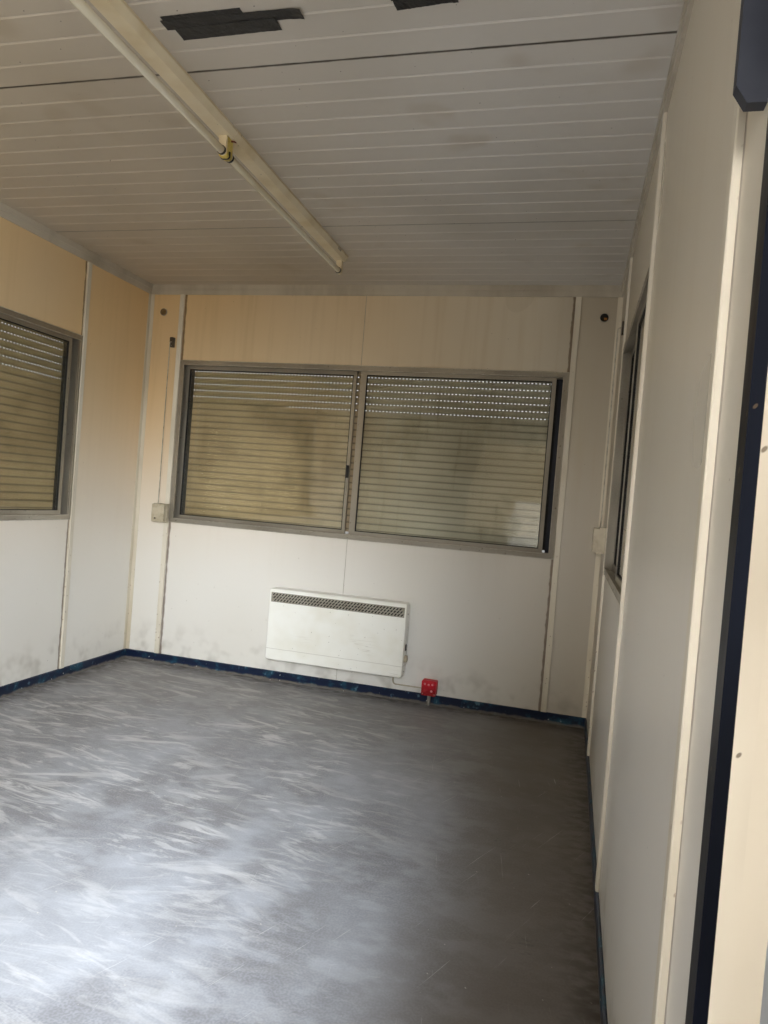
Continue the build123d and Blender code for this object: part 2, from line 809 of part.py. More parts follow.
def window_latch(plane, start, end):
    """Latch on the meeting stile of the left sash, at half height."""
    left, right, left_face, right_face, depth = sash_places(start, end)[0]
    with BuildPart() as latch:
        with BuildSketch(plane.offset(depth + sash_depth)):
            with Locations((right - right_face / 2, latch_height_above_floor)):
                RectangleRounded(latch_width, latch_height, latch_width / 4)
        extrude(amount=latch_depth)
    return latch.part


# Roller shutters: a curtain of hooked slats in two guides, under a box
guide_face = wall_thickness + joint_flange
curtain_middle = guide_face + shutter_guide_depth / 2
shutter_top = flange_top
curtain_base = window_clear_base + shutter_lift


def shutter_curtain(plane, start, end):
    """Closed curtain: one long extrusion of linked slats with a bottom bar."""
    groove_bottom = joint_flange_width / 2 + shutter_guide_width - shutter_groove_width
    left = start + groove_bottom + shutter_side_clearance
    right = end - groove_bottom - shutter_side_clearance
    with BuildPart() as curtain:
        with BuildSketch(section_across(plane, left, -curtain_middle)):
            with Locations((0, curtain_base + shutter_bottom_bar / 2)):
                Rectangle(shutter_bar_depth, shutter_bottom_bar)
            slat_base = curtain_base + shutter_bottom_bar
            while slat_base + shutter_link < shutter_top:
                slat_top = min(slat_base + shutter_slat_pitch, shutter_top)
                with Locations((0, (slat_base + slat_top) / 2)):
                    Rectangle(shutter_link_depth, slat_top - slat_base)
                body_top = slat_top - shutter_slat_gap
                body_base = slat_base + shutter_link
                if body_top - body_base > 2 * shutter_slat_bevel:
                    with BuildLine():
                        Polyline(
                            (-shutter_link_depth / 2, body_base),
                            (shutter_slat_depth / 2, body_base + shutter_slat_bevel),
                            (shutter_slat_depth / 2, body_top - shutter_slat_bevel),
                            (shutter_link_depth / 2, body_top),
                            (-shutter_slat_depth / 2, body_top - shutter_slat_bevel),
                            (-shutter_slat_depth / 2, body_base + shutter_slat_bevel),
                            close=True)
                    make_face()
                slat_base = slat_top
        extrude(amount=right - left)
    return curtain.part


def shutter_guides(plane, start, end):
    """Two grooved rails that hold the curtain's edges."""
    height = shutter_top - window_clear_base + window_sill_drop
    base = window_clear_base - window_sill_drop
    with BuildPart() as guides:
        for place, side in ((start, 1), (end, -1)):
            near = place + side * joint_flange_width / 2
            with BuildSketch(plane.offset(-guide_face)):
                with Locations((near + side * shutter_guide_width / 2, base + height / 2)):
                    Rectangle(shutter_guide_width, height)
            extrude(amount=-shutter_guide_depth)
            groove_depth = (shutter_guide_depth - shutter_groove_depth) / 2
            with BuildSketch(plane.offset(-guide_face - groove_depth)):
                groove_middle = near + side * (shutter_guide_width - shutter_groove_width / 2)
                with Locations((groove_middle, base + height / 2)):
                    Rectangle(shutter_groove_width, height)
            extrude(amount=-shutter_groove_depth, mode=Mode.SUBTRACT)
    return guides.part


def shutter_box(plane, start, end):
    """Roll housing outside, over the window, with a chamfered lower edge."""
    left = start - shutter_box_overhang
    right = end + shutter_box_overhang
    with BuildPart() as box:
        with BuildSketch(section_across(plane, left, -guide_face)):
            with BuildLine():
                Polyline(
                    (0, shutter_top),
                    (0, shutter_top + shutter_box_height),
                    (shutter_box_depth, shutter_top + shutter_box_height),
                    (shutter_box_depth, shutter_top + shutter_box_chamfer),
                    (shutter_box_depth - shutter_box_chamfer, shutter_top),
                    close=True)
            make_face()
        extrude(amount=right - left)
    return box.part


cord_exit_height = inner_height - cord_guide_drop + cord_guide_height / 2
cover_width = winder_width - 2 * winder_cover_inset
cover_height = winder_height - 2 * winder_cover_inset


def shutter_winder(plane, joint, base):
    """Winder box over a joint strip: a back part beside the strip, and a cover in front of it."""
    left = joint - winder_offset - winder_width / 2
    back_width = joint - joint_flange_width / 2 - winder_strip_gap - left
    middle = (left + winder_width / 2, base + winder_height / 2)
    front_of_strip = joint_strip_depth + winder_strip_gap
    with BuildPart() as winder:
        with BuildSketch(plane):
            with Locations((left + back_width / 2, base + winder_height / 2)):
                Rectangle(back_width, winder_height)
        extrude(amount=front_of_strip)
        with BuildSketch(plane.offset(front_of_strip)):
            with Locations(middle):
                Rectangle(winder_width, winder_height)
        extrude(amount=winder_depth - winder_cover_depth - front_of_strip)
        with BuildSketch(plane.offset(winder_depth - winder_cover_depth)):
            with Locations(middle):
                RectangleRounded(cover_width, cover_height, winder_corner)
        extrude(amount=winder_cover_depth)
        front_edges = winder.faces().filter_by(plane).sort_by(Axis(plane.origin, plane.z_dir))[-1].edges()
        fillet(front_edges, winder_edge)
    return winder.part


def cord_guide(plane, joint):
    """Small housing where the shutter's cord comes through the wall."""
    with BuildPart() as guide:
        with BuildSketch(plane):
            with Locations((joint - cord_guide_offset, cord_exit_height)):
                RectangleRounded(cord_guide_width, cord_guide_height, winder_corner)
        extrude(amount=cord_guide_depth)
    return guide.part


def winder_cord(plane, joint, base):
    """Cord held between its guide and the top of the winder."""
    place = joint - cord_guide_offset
    with BuildPart() as cord:
        with BuildLine() as route:
            FilletPolyline(
                plane.from_local_coords((place, cord_exit_height, cord_guide_depth)),
                plane.from_local_coords((place, cord_exit_height, winder_cord_depth)),
                plane.from_local_coords((place, base + winder_height, winder_cord_depth)),
                radius=winder_cord_bend)
        with BuildSketch(Plane(origin=route.line @ 0, z_dir=route.line % 0)):
            Circle(winder_cord_radius)
        sweep()
    return cord.part


windows = (
    (back_wall, end_joints, back_winder_base),
    (left_wall, left_window_joints, left_winder_base),
    (right_wall, right_window_joints, right_winder_base))
window_pieces = (
    (window_frame, "window_frames"),
    (window_sashes, "window_sashes"),
    (window_glass, "window_glass"),
    (window_latch, "window_latches"),
    (shutter_curtain, "shutter_curtains"),
    (shutter_guides, "shutter_guides"),
    (shutter_box, "shutter_boxes"))
for make_piece, name in window_pieces:
    with BuildPart() as pieces:
        for plane, joints, winder_base in windows:
            add(make_piece(plane, joints[0], joints[1]))
    keep(pieces.part, name)

with BuildPart() as shutter_winders:
    for plane, joints, winder_base in windows:
        add(shutter_winder(plane, joints[0], winder_base))
keep(shutter_winders.part, "shutter_winders")

with BuildPart() as cord_guides:
    for plane, joints, winder_base in windows:
        add(cord_guide(plane, joints[0]))
keep(cord_guides.part, "cord_guides")

with BuildPart() as winder_cords:
    for plane, joints, winder_base in windows:
        add(winder_cord(plane, joints[0], winder_base))
keep(winder_cords.part, "winder_cords")

# Door frame: flanges on both faces of the wall, a stop, and a rebate that takes the leaf
with BuildPart() as door_frame:
    with BuildSketch(right_wall):
        with Locations((door_middle, door_frame_top / 2)):
            Rectangle(frame_end - frame_start, door_frame_top)
    extrude(amount=-door_frame_depth)
    with BuildSketch(right_wall):
        with Locations((door_middle, (door_opening_height + door_flange_reach) / 2)):
            Rectangle(flange_end - flange_start, door_opening_height + door_flange_reach)
    extrude(amount=door_flange)
    with BuildSketch(right_wall.offset(-wall_thickness)):
        with Locations((door_middle, (door_frame_top + door_outer_flange_overlap) / 2)):
            Rectangle(
                frame_end - frame_start + 2 * door_outer_flange_overlap,
                door_frame_top + door_outer_flange_overlap)
    extrude(amount=-(door_frame_depth - wall_thickness))
    with BuildSketch(right_wall.offset(door_flange)):
        with Locations((door_middle, (door_sill_stop + door_opening_height) / 2)):
            Rectangle(clear_end - clear_start, door_opening_height - door_sill_stop)
    extrude(amount=-door_flange - door_frame_depth, mode=Mode.SUBTRACT)
    with BuildSketch(right_wall.offset(door_flange)):
        with Locations((door_middle, door_sill_stop / 2)):
            Rectangle(clear_end - clear_start, door_sill_stop)
    extrude(amount=-door_flange, mode=Mode.SUBTRACT)
    with BuildSketch(right_wall.offset(-door_inner_depth)):
        with Locations((door_middle, (door_sill_height + rebate_top) / 2)):
            Rectangle(rebate_end - rebate_start, rebate_top - door_sill_height)
    extrude(amount=-(door_frame_depth - door_inner_depth), mode=Mode.SUBTRACT)
keep(door_frame.part, "door_frame")

# Door leaf, standing open: local x runs from the hinge to the free edge, z to the room side
leaf_face_depth = door_inner_depth + door_clearance
axis_depth = leaf_face_depth + door_leaf_thickness + hinge_axis_offset
axis_place = rebate_start + door_clearance / 2
hinge_axis_point = right_wall.from_local_coords((axis_place, 0, -axis_depth))
open_turn = radians(door_open_angle)
leaf_plane = Plane(
    origin=hinge_axis_point,
    x_dir=(sin(open_turn), -cos(open_turn), 0),
    z_dir=(-cos(open_turn), -sin(open_turn), 0))
leaf_start = door_clearance / 2
leaf_width = rebate_end - rebate_start - 2 * door_clearance
leaf_base = door_sill_height + door_clearance
leaf_height = rebate_top - door_clearance - leaf_base
leaf_middle = (leaf_start + leaf_width / 2, leaf_base + leaf_height / 2)
with BuildPart() as door_leaf_frame:
    with BuildSketch(leaf_plane.offset(hinge_axis_offset)):
        with Locations(leaf_middle):
            Rectangle(leaf_width, leaf_height)
            Rectangle(leaf_width - 2 * door_edge_width, leaf_height - 2 * door_edge_width, mode=Mode.SUBTRACT)
    extrude(amount=door_leaf_thickness)
keep(door_leaf_frame.part, "door_leaf_frame")

with BuildPart() as door_leaf_panel:
    with BuildSketch(leaf_plane.offset(hinge_axis_offset + door_skin_recess)):
        with Locations(leaf_middle):
            Rectangle(leaf_width - 2 * door_edge_width, leaf_height - 2 * door_edge_width)
    extrude(amount=door_leaf_thickness - 2 * door_skin_recess)
keep(door_leaf_panel.part, "door_leaf_panel")

# Lift-off hinges: the lower half carries the pin, the upper half turns on it with the leaf
hinge_top = rebate_top - hinge_inset
hinge_heights = (hinge_inset, (hinge_inset + hinge_top) / 2, hinge_top)
frame_face_behind_axis = axis_depth - door_frame_depth
with BuildPart() as frame_hinges:
    for height in hinge_heights:
        with BuildSketch(Plane.XY.offset(floor_level + height)):
            with Locations((hinge_axis_point.X, hinge_axis_point.Y)):
                Circle(hinge_radius)
            with Locations((
                    hinge_axis_point.X - frame_face_behind_axis / 2,
                    hinge_axis_point.Y + door_clearance / 2 + hinge_plate_thickness / 2)):
                Rectangle(frame_face_behind_axis, hinge_plate_thickness)
            with Locations((
                    hinge_axis_point.X - frame_face_behind_axis + hinge_plate_thickness / 2,
                    hinge_axis_point.Y + door_clearance / 2 + hinge_plate_width / 2)):
                Rectangle(hinge_plate_thickness, hinge_plate_width)
        extrude(amount=hinge_half_height)
        with BuildSketch(Plane.XY.offset(floor_level + height + hinge_half_height)):
            with Locations((hinge_axis_point.X, hinge_axis_point.Y)):
                Circle(hinge_pin_radius)
        extrude(amount=hinge_half_height)
keep(frame_hinges.part, "frame_hinges")

with BuildPart() as leaf_hinges:
    for height in hinge_heights:
        half_base = floor_level + height + hinge_half_height + hinge_gap
        with BuildSketch(Plane.XY.offset(half_base)):
            with Locations((hinge_axis_point.X, hinge_axis_point.Y)):
                Circle(hinge_radius)
        extrude(amount=hinge_half_height)
        with BuildSketch(leaf_plane.offset(hinge_axis_offset)):
            with Locations((
                    leaf_start + hinge_plate_width / 2,
                    half_base - floor_level + hinge_half_height / 2)):
                Rectangle(hinge_plate_width, hinge_half_height)
        extrude(amount=-hinge_plate_thickness)
        with BuildSketch(leaf_plane):
            with Locations((
                    leaf_start + hinge_plate_thickness / 2,
                    half_base - floor_level + hinge_half_height / 2)):
                Rectangle(hinge_plate_thickness, hinge_half_height)
        extrude(amount=hinge_axis_offset)
        with BuildSketch(Plane.XY.offset(half_base)):
            with Locations((hinge_axis_point.X, hinge_axis_point.Y)):
                Circle(hinge_pin_radius + hinge_pin_clearance)
        extrude(amount=hinge_half_height, mode=Mode.SUBTRACT)
keep(leaf_hinges.part, "leaf_hinges")

# Door handle: a plate, a neck and a lever on each face of the leaf
handle_place = leaf_start + leaf_width - handle_backset
inner_skin = hinge_axis_offset + door_leaf_thickness - door_skin_recess
outer_skin = hinge_axis_offset + door_skin_recess
with BuildPart() as door_handles:
    for skin, side in ((inner_skin, 1), (outer_skin, -1)):
        with BuildSketch(leaf_plane.offset(skin)):
            with Locations((handle_place, handle_height - handle_plate_drop)):
                SlotOverall(handle_plate_height, handle_plate_width, rotation=90)
        extrude(amount=side * handle_plate_thickness)
        with BuildSketch(leaf_plane.offset(skin)):
            with Locations((handle_place, handle_height)):
                Circle(handle_neck_radius)
        extrude(amount=side * handle_reach)
        lever_depth = skin + side * (handle_reach - handle_radius)
        lever_origin = leaf_plane.from_local_coords((handle_place, handle_height, lever_depth))
        with BuildSketch(Plane(origin=lever_origin, x_dir=leaf_plane.z_dir, z_dir=-leaf_plane.x_dir)):
            SlotOverall(handle_lever_height, 2 * handle_radius, rotation=90)
        extrude(amount=handle_length)
keep(door_handles.part, "door_handles")

# Cable trunking between the door and the joint beside it, up to the cornice
trunking_top = inner_height - cornice_height - trim_gap
trunking_start = flange_start - trunking_door_gap - trunking_width
with BuildPart() as wall_trunking:
    with BuildSketch(section_across(right_wall, trunking_start, 0)):
        with BuildLine():
            Polyline(
                (0, trunking_base),
                (0, trunking_top),
                (-trunking_depth, trunking_top),
                (-trunking_depth, trunking_base + trunking_chamfer_height),
                (-(trunking_depth - trunking_chamfer_depth), trunking_base),
                close=True)
        make_face()
    extrude(amount=trunking_width)
keep(wall_trunking.part, "wall_trunking")

# Panel heater on wall brackets, with a slanted-slot grille set in its face
heater_middle = heater_position + heater_width / 2
heater_top = heater_base + heater_height
with BuildPart() as heater_case:
    with BuildSketch(back_wall.offset(heater_standoff)):
        with Locations((heater_middle, heater_base + heater_height / 2)):
            RectangleRounded(heater_width, heater_height, heater_corner)
    extrude(amount=heater_depth)
    front_face = heater_case.faces().sort_by(Axis(back_wall.origin, back_wall.z_dir))[-1]
    fillet(front_face.edges(), heater_edge)
    grille_middle = heater_top - grille_below_top - grille_height / 2
    with BuildSketch(back_wall.offset(heater_standoff + heater_depth)):
        with Locations((heater_middle, grille_middle)):
            Rectangle(grille_width, grille_height)
    extrude(amount=-grille_recess, mode=Mode.SUBTRACT)
keep(heater_case.part, "heater_case")

slot_rows = (grille_height - 2 * grille_thickness) / grille_rows
slot_count = int((grille_width - grille_slot_pitch) / grille_slot_pitch)
with BuildPart() as heater_grille:
    with BuildSketch(back_wall.offset(heater_standoff + heater_depth - grille_thickness)):
        with Locations((heater_middle, grille_middle)):
            Rectangle(grille_width, grille_height)
        for row in range(grille_rows):
            row_middle = grille_middle + (row - (grille_rows - 1) / 2) * slot_rows
            lean = (row - (grille_rows - 1) / 2) * slot_rows * grille_slot_slant / grille_slot_height
            shift = (lean + grille_slot_pitch / 2) % grille_slot_pitch - grille_slot_pitch / 2
            for number in range(slot_count):
                place = heater_middle + (number - (slot_count - 1) / 2) * grille_slot_pitch + shift
                half_slot = grille_slot_width / 2
                half_rise = grille_slot_height / 2
                half_slant = grille_slot_slant / 2
                with BuildLine():
                    Polyline(
                        (place - half_slot - half_slant, row_middle - half_rise),
                        (place + half_slot - half_slant, row_middle - half_rise),
                        (place + half_slot + half_slant, row_middle + half_rise),
                        (place - half_slot + half_slant, row_middle + half_rise),
                        close=True)
                make_face(mode=Mode.SUBTRACT)
    extrude(amount=grille_thickness)
keep(heater_grille.part, "heater_grille")

with BuildPart() as heater_brackets:
    with BuildSketch(back_wall):
        for side in (-1, 1):
            with Locations((heater_middle + side * bracket_spacing / 2, heater_base + heater_height / 2)):
                Rectangle(bracket_width, bracket_height)
    extrude(amount=heater_standoff)
keep(heater_brackets.part, "heater_brackets")

knob_plane = Plane(
    origin=back_wall.from_local_coords((
        heater_position + heater_width, heater_base + knob_height, heater_standoff + heater_depth / 2)),
    x_dir=back_wall.z_dir, z_dir=back_wall.x_dir)
with BuildPart() as heater_knob:
    with BuildSketch(knob_plane):
        Circle(knob_radius)
    extrude(amount=knob_depth)
    chamfer(heater_knob.faces().sort_by(Axis.X)[-1].edges(), knob_chamfer)
keep(heater_knob.part, "heater_knob")

# Red socket on the wall, with its conduit down to the floor
socket_position = heater_position + heater_width + socket_gap + socket_size / 2
with BuildPart() as red_socket:
    with BuildSketch(back_wall):
        with Locations((socket_position, socket_base + socket_size / 2)):
            RectangleRounded(socket_size, socket_size, socket_corner)
    extrude(amount=socket_depth)
    with BuildSketch(back_wall.offset(socket_depth)):
        with Locations((socket_position, socket_base + socket_size / 2)):
            Circle(socket_ring)
    extrude(amount=socket_ring_height)
keep(red_socket.part, "red_socket")

conduit_depth = skirting_thickness + conduit_radius
conduit_origin = back_wall.from_local_coords((socket_position, 0, conduit_depth))
with BuildPart() as socket_conduit:
    with BuildSketch(Plane.XY.offset(floor_level)):
        with Locations((conduit_origin.X, conduit_origin.Y)):
            Circle(conduit_radius)
    extrude(amount=socket_base)
keep(socket_conduit.part, "socket_conduit")

# Lead held between the heater and the socket
lead_start = heater_position + heater_width - lead_exit_inset
lead_end = socket_position - socket_size / 2
lead_depth = conduit_depth
lead_level = heater_base - lead_drop
with BuildPart() as heater_lead:
    with BuildLine() as lead_route:
        FilletPolyline(
            back_wall.from_local_coords((lead_start, heater_base, lead_depth + heater_standoff)),
            back_wall.from_local_coords((lead_start, lead_level, lead_depth + heater_standoff)),
            back_wall.from_local_coords((lead_end, lead_level, lead_depth + heater_standoff)),
            radius=lead_bend)
    with BuildSketch(Plane(origin=lead_route.line @ 0, z_dir=lead_route.line % 0)):
        Circle(lead_radius)
    sweep()
keep(heater_lead.part, "heater_lead")

# Lights: a row of battens down the middle, each with a tube between two holders
light_pitch = (inner_length - 2 * light_end_gap) / light_count
light_length = light_pitch - light_gap
first_light = half_length - light_end_gap
tray_bottom = ceiling_level - light_tray_height
tube_level = ceiling_level - light_tube_drop
with BuildPart() as light_trays:
    for number in range(light_count):
        near_end = first_light - number * light_pitch
        with BuildSketch(Plane.XZ.offset(-near_end)):
            with BuildLine():
                Polyline(
                    (-light_tray_width / 2, ceiling_level),
                    (light_tray_width / 2, ceiling_level),
                    (light_tray_width / 2, ceiling_level - light_tray_rim),
                    (light_tray_width / 2 - light_tray_edge, tray_bottom),
                    (-light_tray_width / 2 + light_tray_edge, tray_bottom),
                    (-light_tray_width / 2, ceiling_level - light_tray_rim),
                    close=True)
            make_face()
        extrude(amount=light_length)
keep(light_trays.part, "light_trays")

with BuildPart() as light_holders:
    for number in range(light_count):
        near_end = first_light - number * light_pitch
        for place in (near_end, near_end - light_length + light_holder_length):
            with BuildSketch(Plane.XZ.offset(-place)):
                holder_height = tray_bottom - tube_level
                with Locations((0, tray_bottom - holder_height / 2)):
                    Rectangle(light_holder_width, holder_height)
                with Locations((0, tube_level)):
                    Circle(light_holder_width / 2)
            extrude(amount=light_holder_length)
keep(light_holders.part, "light_holders")

with BuildPart() as light_tubes:
    for number in range(light_count):
        tube_end = first_light - number * light_pitch - light_holder_length
        with BuildSketch(Plane.XZ.offset(-tube_end)):
            with Locations((0, tube_level)):
                Circle(light_tube_radius)
        extrude(amount=light_length - 2 * light_holder_length)
keep(light_tubes.part, "light_tubes")

# Round air vents high on the end wall
vent_height = inner_height - vent_drop
vent_places = ((vent_left_inset, vent_height), (inner_width - vent_right_inset, vent_height))
with BuildPart() as wall_vents:
    with BuildSketch(back_wall):
        with Locations(*vent_places):
            Circle(vent_radius)
    extrude(amount=vent_depth)
    with BuildSketch(back_wall.offset(vent_depth)):
        with Locations(*vent_places):
            Circle(vent_radius - vent_lip)
    extrude(amount=-vent_recess, mode=Mode.SUBTRACT)
keep(wall_vents.part, "wall_vents")
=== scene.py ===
# %% [markdown]
# # A portable site cabin, seen from its own doorway
# The steel frame, the wall panels, the window frames and the door come from the CAD model. This
# lesson gives them their finishes, and models the small things that make the room look used:
# light slots in the roller shutters, torn tape on the ceiling, rubber seals, screws and dirt.
# The first cell loads the CAD model.

# %% Load the cabin
import math

import bmesh
import bpy
from mathutils import Matrix, Vector


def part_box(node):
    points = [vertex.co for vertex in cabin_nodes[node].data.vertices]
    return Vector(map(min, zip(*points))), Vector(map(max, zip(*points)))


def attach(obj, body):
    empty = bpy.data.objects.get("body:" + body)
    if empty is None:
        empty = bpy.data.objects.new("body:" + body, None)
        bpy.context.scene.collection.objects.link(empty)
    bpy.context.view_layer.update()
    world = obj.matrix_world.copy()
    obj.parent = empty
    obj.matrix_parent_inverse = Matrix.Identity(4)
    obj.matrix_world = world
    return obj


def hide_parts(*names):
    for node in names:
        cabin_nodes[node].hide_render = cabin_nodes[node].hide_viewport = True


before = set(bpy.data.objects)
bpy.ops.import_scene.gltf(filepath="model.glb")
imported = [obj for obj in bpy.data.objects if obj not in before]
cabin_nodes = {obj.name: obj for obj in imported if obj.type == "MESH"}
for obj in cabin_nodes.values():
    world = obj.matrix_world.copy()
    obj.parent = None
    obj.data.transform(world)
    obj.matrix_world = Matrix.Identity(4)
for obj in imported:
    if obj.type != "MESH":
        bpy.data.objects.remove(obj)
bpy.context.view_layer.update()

# %% [markdown]
# The room's main planes are read from the CAD nodes, so that every piece below can be placed from
# them. The walls stand on the floor sheet and end under the ceiling. The photographed end wall is
# the far one, and the doorway is in the wall on the right.

# %% Read the room's planes
floor_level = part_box("floor_covering")[1].z
ceiling_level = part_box("ceiling_panels")[0].z
right_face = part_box("skirting")[1].x
end_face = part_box("skirting")[1].y
print("room:", round(2 * right_face, 3), round(2 * end_face, 3), round(ceiling_level - floor_level, 3))

# %% [markdown]
# A phone held at chest height in the doorway made the picture. Its place, its turn and its roll
# were solved from the corners of the room, the windows and the heater, so the camera gets a full
# matrix: right, up and backwards as columns. The lens is 25 mm on a 36 mm high frame.

# %% Camera
camera_place = Vector((1.218, -0.954, 1.272))
camera_turn = math.radians(14.77)
camera_pitch = math.radians(-1.25)
camera_roll = math.radians(4.61)

ahead_level = Vector((-math.sin(camera_turn), math.cos(camera_turn), 0))
right_level = Vector((math.cos(camera_turn), math.sin(camera_turn), 0))
ahead = math.cos(camera_pitch) * ahead_level + math.sin(camera_pitch) * Vector((0, 0, 1))
up_level = -math.sin(camera_pitch) * ahead_level + math.cos(camera_pitch) * Vector((0, 0, 1))
right_of_view = math.cos(camera_roll) * right_level + math.sin(camera_roll) * up_level
up_of_view = -math.sin(camera_roll) * right_level + math.cos(camera_roll) * up_level

camera_data = bpy.data.cameras.new("doorway_camera")
camera = bpy.data.objects.new("doorway_camera", camera_data)
bpy.context.scene.collection.objects.link(camera)
camera_data.lens = 25.0
camera_data.sensor_width = 36.0
camera_data.clip_start = 0.02
camera.matrix_world = Matrix((
    (right_of_view.x, up_of_view.x, -ahead.x, camera_place.x),
    (right_of_view.y, up_of_view.y, -ahead.y, camera_place.y),
    (right_of_view.z, up_of_view.z, -ahead.z, camera_place.z),
    (0, 0, 0, 1),
))
bpy.context.scene.camera = camera
bpy.context.scene.view_settings.view_transform = "Standard"
print("camera at", tuple(round(v, 3) for v in camera_place))

# %% [markdown]
# Colours are easier to read as the 0 to 255 values of a colour picker, but shaders work in linear
# light. This helper turns one into the other. Three more helpers keep the node trees short: one
# adds a node, one feeds a socket with a value or with another socket, and one mixes two colours.

# %% Colour and node helpers
def paint(red, green, blue):
    """A colour picker's 0 to 255 values as the linear colour that a shader reads."""
    def linear(value):
        value = value / 255
        return value / 12.92 if value <= 0.04045 else ((value + 0.055) / 1.055) ** 2.4
    return (linear(red), linear(green), linear(blue), 1.0)


def add_node(tree, kind, **settings):
    """A new shader node with some of its settings."""
    node = tree.nodes.new(kind)
    for setting, value in settings.items():
        setattr(node, setting, value)
    return node


def feed(tree, socket, value):
    """Gives a socket a plain value, or joins it to another node's output."""
    if isinstance(value, bpy.types.NodeSocket):
        tree.links.new(value, socket)
    else:
        socket.default_value = value


def maths(tree, operation, first, second=0.0, third=0.0):
    """One Math node's output."""
    node = add_node(tree, "ShaderNodeMath", operation=operation)
    feed(tree, node.inputs[0], first)
    feed(tree, node.inputs[1], second)
    feed(tree, node.inputs[2], third)
    return node.outputs[0]


def times(tree, first, second):
    """Two values multiplied."""
    return maths(tree, "MULTIPLY", first, second)


def blend_colours(tree, mask, under, over):
    """The colour over laid on the colour under, where the mask is 1."""
    node = add_node(tree, "ShaderNodeMix", data_type="RGBA")
    feed(tree, node.inputs["Factor"], mask)
    feed(tree, node.inputs["A"], under)
    feed(tree, node.inputs["B"], over)
    return node.outputs["Result"]


def lay(tree, colour, over, mask, amount):
    """A colour with another laid over it where the mask is 1, as strongly as the amount says."""
    return blend_colours(tree, times(tree, mask, amount), colour, over)


def soft_step(tree, value, low, high):
    """0 below low, 1 above high and a smooth change between them."""
    node = add_node(tree, "ShaderNodeMapRange", interpolation_type="SMOOTHSTEP")
    feed(tree, node.inputs["Value"], value)
    feed(tree, node.inputs["From Min"], low)
    feed(tree, node.inputs["From Max"], high)
    return node.outputs["Result"]


# %% [markdown]
# Effects that several finishes share are node groups, built once. The first one makes soft clouds
# of dirt: a noise that is cut between two levels. Its inputs say how large the clouds are and how
# much of the surface they take. Stretch squeezes the pattern along an axis, so that the same group
# also gives the runs that water leaves down a wall. Detail is how many finer layers the noise has:
# where they can't be seen, a low value keeps the render quick.

# %% Node group: soft stains
def new_group(name, inputs, outputs):
    """An empty node group with its sockets, and the two nodes that stand for them inside."""
    group = bpy.data.node_groups.new(name, "ShaderNodeTree")
    for socket_name, kind, value in inputs:
        socket = group.interface.new_socket(name=socket_name, in_out="INPUT", socket_type=kind)
        socket.default_value = value
    for socket_name, kind in outputs:
        group.interface.new_socket(name=socket_name, in_out="OUTPUT", socket_type=kind)
    return group, add_node(group, "NodeGroupInput"), add_node(group, "NodeGroupOutput")


def object_place(tree):
    """The Object coordinates in a material, which are the cabin's own metres."""
    return tree.nodes["Texture Coordinate"].outputs["Object"]


def use_group(tree, group, **inputs):
    """A group placed in a material, with its own values. Gives the group's first output."""
    node = add_node(tree, "ShaderNodeGroup", node_tree=group)
    inputs.setdefault("Place", object_place(tree))
    for socket_name, value in inputs.items():
        feed(tree, node.inputs[socket_name.replace("_", " ")], value)
    return node.outputs[0]


stains, stains_in, stains_out = new_group(
    "soft_stains",
    [("Place", "NodeSocketVector", (0, 0, 0)), ("Stretch", "NodeSocketVector", (1, 1, 1)),
     ("Size", "NodeSocketFloat", 0.5), ("From", "NodeSocketFloat", 0.5), ("To", "NodeSocketFloat", 0.7),
     ("Detail", "NodeSocketFloat", 3.0)],
    [("Mask", "NodeSocketFloat")])
stretched = add_node(stains, "ShaderNodeVectorMath", operation="MULTIPLY")
feed(stains, stretched.inputs[0], stains_in.outputs["Place"])
feed(stains, stretched.inputs[1], stains_in.outputs["Stretch"])
clouds = add_node(stains, "ShaderNodeTexNoise")
feed(stains, clouds.inputs["Vector"], stretched.outputs[0])
feed(stains, clouds.inputs["Scale"], maths(stains, "DIVIDE", 1.0, stains_in.outputs["Size"]))
feed(stains, clouds.inputs["Detail"], stains_in.outputs["Detail"])
clouds.inputs["Roughness"].default_value = 0.62
feed(stains, stains_out.inputs["Mask"],
     soft_step(stains, clouds.outputs["Fac"], stains_in.outputs["From"], stains_in.outputs["To"]))
print("group made:", stains.name)

# %% [markdown]
# Small round marks, such as rust spots, paint splashes and fly specks, come from a Voronoi pattern.
# Each of its cells has one point, and the distance to that point makes a dot. The cell's own random
# colour decides whether its dot shows at all, and how large it is, so that the dots look scattered.
# A flat Voronoi is much quicker than one in space, so the place is first laid flat: the two sums
# below differ along both directions of a floor and of either wall.

# %% Node group: scattered specks
specks, specks_in, specks_out = new_group(
    "scattered_specks",
    [("Place", "NodeSocketVector", (0, 0, 0)), ("Spacing", "NodeSocketFloat", 0.05),
     ("Radius", "NodeSocketFloat", 0.2), ("Share", "NodeSocketFloat", 0.3)],
    [("Mask", "NodeSocketFloat")])
speck_place = add_node(specks, "ShaderNodeSeparateXYZ")
feed(specks, speck_place.inputs[0], specks_in.outputs["Place"])
laid_flat = add_node(specks, "ShaderNodeCombineXYZ")
feed(specks, laid_flat.inputs["X"], maths(specks, "ADD", speck_place.outputs["X"], speck_place.outputs["Y"]))
y_less_x = maths(specks, "SUBTRACT", speck_place.outputs["Y"], speck_place.outputs["X"])
feed(specks, laid_flat.inputs["Y"], maths(specks, "MULTIPLY_ADD", y_less_x, 0.6, speck_place.outputs["Z"]))
cells = add_node(specks, "ShaderNodeTexVoronoi", voronoi_dimensions="2D")
feed(specks, cells.inputs["Vector"], laid_flat.outputs[0])
feed(specks, cells.inputs["Scale"], maths(specks, "DIVIDE", 1.0, specks_in.outputs["Spacing"]))
cell_colour = add_node(specks, "ShaderNodeSeparateColor")
feed(specks, cell_colour.inputs[0], cells.outputs["Color"])
dot_radius = times(specks, specks_in.outputs["Radius"], cell_colour.outputs[1])
